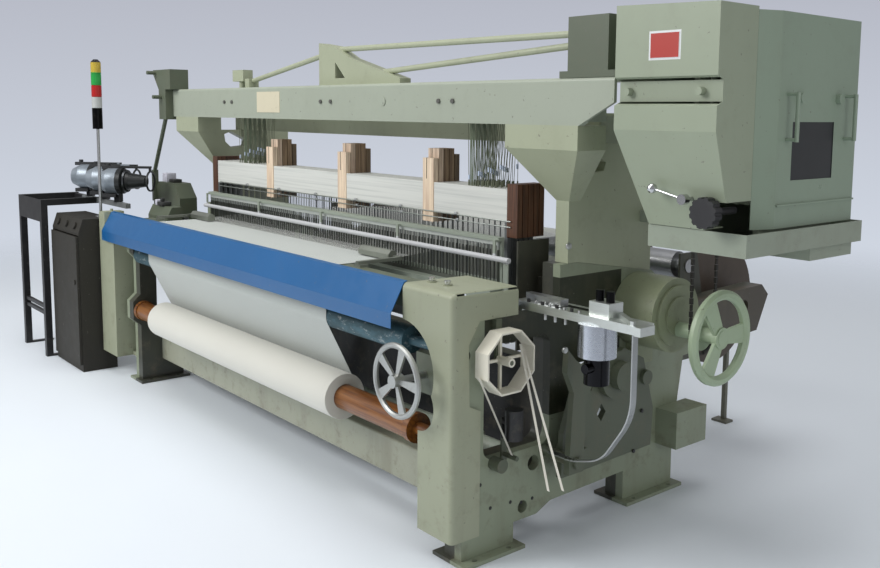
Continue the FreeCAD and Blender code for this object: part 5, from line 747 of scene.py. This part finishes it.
def stage_floor():
    """A pale floor that fades out with the distance from the loom."""
    fade_from, fade_to, half_width = 3.2, 9.0, 14
    f = Finish("floor")
    away = f.add("ShaderNodeVectorMath", {"operation": "LENGTH"}, {0: f.place}, output="Value")
    clear = f.add("ShaderNodeBsdfTransparent")
    blend = f.add("ShaderNodeMixShader", {}, {0: away.between(fade_from, fade_to),
                                              1: Value(f, f.shader.outputs[0]), 2: clear})
    out = f.tree.nodes["Material Output"]
    f.tree.links.new(blend.socket, out.inputs["Surface"])
    f.give(Base_Color=tone(0.78, 0.83, 0.88), Roughness=f.noise(3, 2) * 0.2 + 0.6)
    bm = bmesh.new()
    bmesh.ops.create_grid(bm, x_segments=1, y_segments=1, size=half_width)
    mesh = bpy.data.meshes.new("floor")
    bm.to_mesh(mesh)
    bm.free()
    floor = bpy.data.objects.new("floor", mesh)
    floor.location.z = -0.001
    mesh.materials.append(f.material)
    bpy.context.scene.collection.objects.link(floor)


def set_world():
    """An even pale light, with a soft grey-blue backdrop that only the camera sees."""
    world = bpy.data.worlds.new("studio")
    bpy.context.scene.world = world
    world.use_nodes = True
    nodes, links = world.node_tree.nodes, world.node_tree.links
    base = nodes["Background"]
    base.inputs["Color"].default_value = tone(0.95, 0.96, 1.0)
    base.inputs["Strength"].default_value = 0.34
    seen = nodes.new("ShaderNodeBackground")
    ray = nodes.new("ShaderNodeLightPath")
    blend = nodes.new("ShaderNodeMixShader")
    way = nodes.new("ShaderNodeTexCoord")
    split = nodes.new("ShaderNodeSeparateXYZ")
    ramp = nodes.new("ShaderNodeMapRange")
    mix = nodes.new("ShaderNodeMix")
    mix.data_type = "RGBA"
    ramp.inputs["From Min"].default_value, ramp.inputs["From Max"].default_value = -0.35, 0.12
    low_colour, high_colour = mix.inputs[6], mix.inputs[7]
    low_colour.default_value = tone(0.76, 0.83, 0.92)
    high_colour.default_value = tone(0.47, 0.49, 0.56)
    links.new(way.outputs["Generated"], split.inputs[0])
    links.new(split.outputs[2], ramp.inputs["Value"])
    links.new(ramp.outputs[0], mix.inputs[0])
    links.new(mix.outputs[2], seen.inputs[0])
    links.new(ray.outputs["Is Camera Ray"], blend.inputs[0])
    links.new(base.outputs[0], blend.inputs[1])
    links.new(seen.outputs[0], blend.inputs[2])
    links.new(blend.outputs[0], nodes["World Output"].inputs[0])


set_camera()
set_world()
stage_floor()
soft_lamp("key", place=(-2.5, -7.5, 5.5), size=4.5, watts=520)
soft_lamp("top", place=(1.0, -1.0, 7.0), size=5.0, watts=220)
soft_lamp("side", place=(7.5, -1.5, 3.0), size=4.0, watts=60)
dress_nodes()
cloth_and_roll()
warp_threads()
waste_strips()
heald_fittings()
lifting_wires()
feeder_works()
left_end_fittings()
small_fittings()
bpy.context.scene.view_settings.view_transform = "Standard"
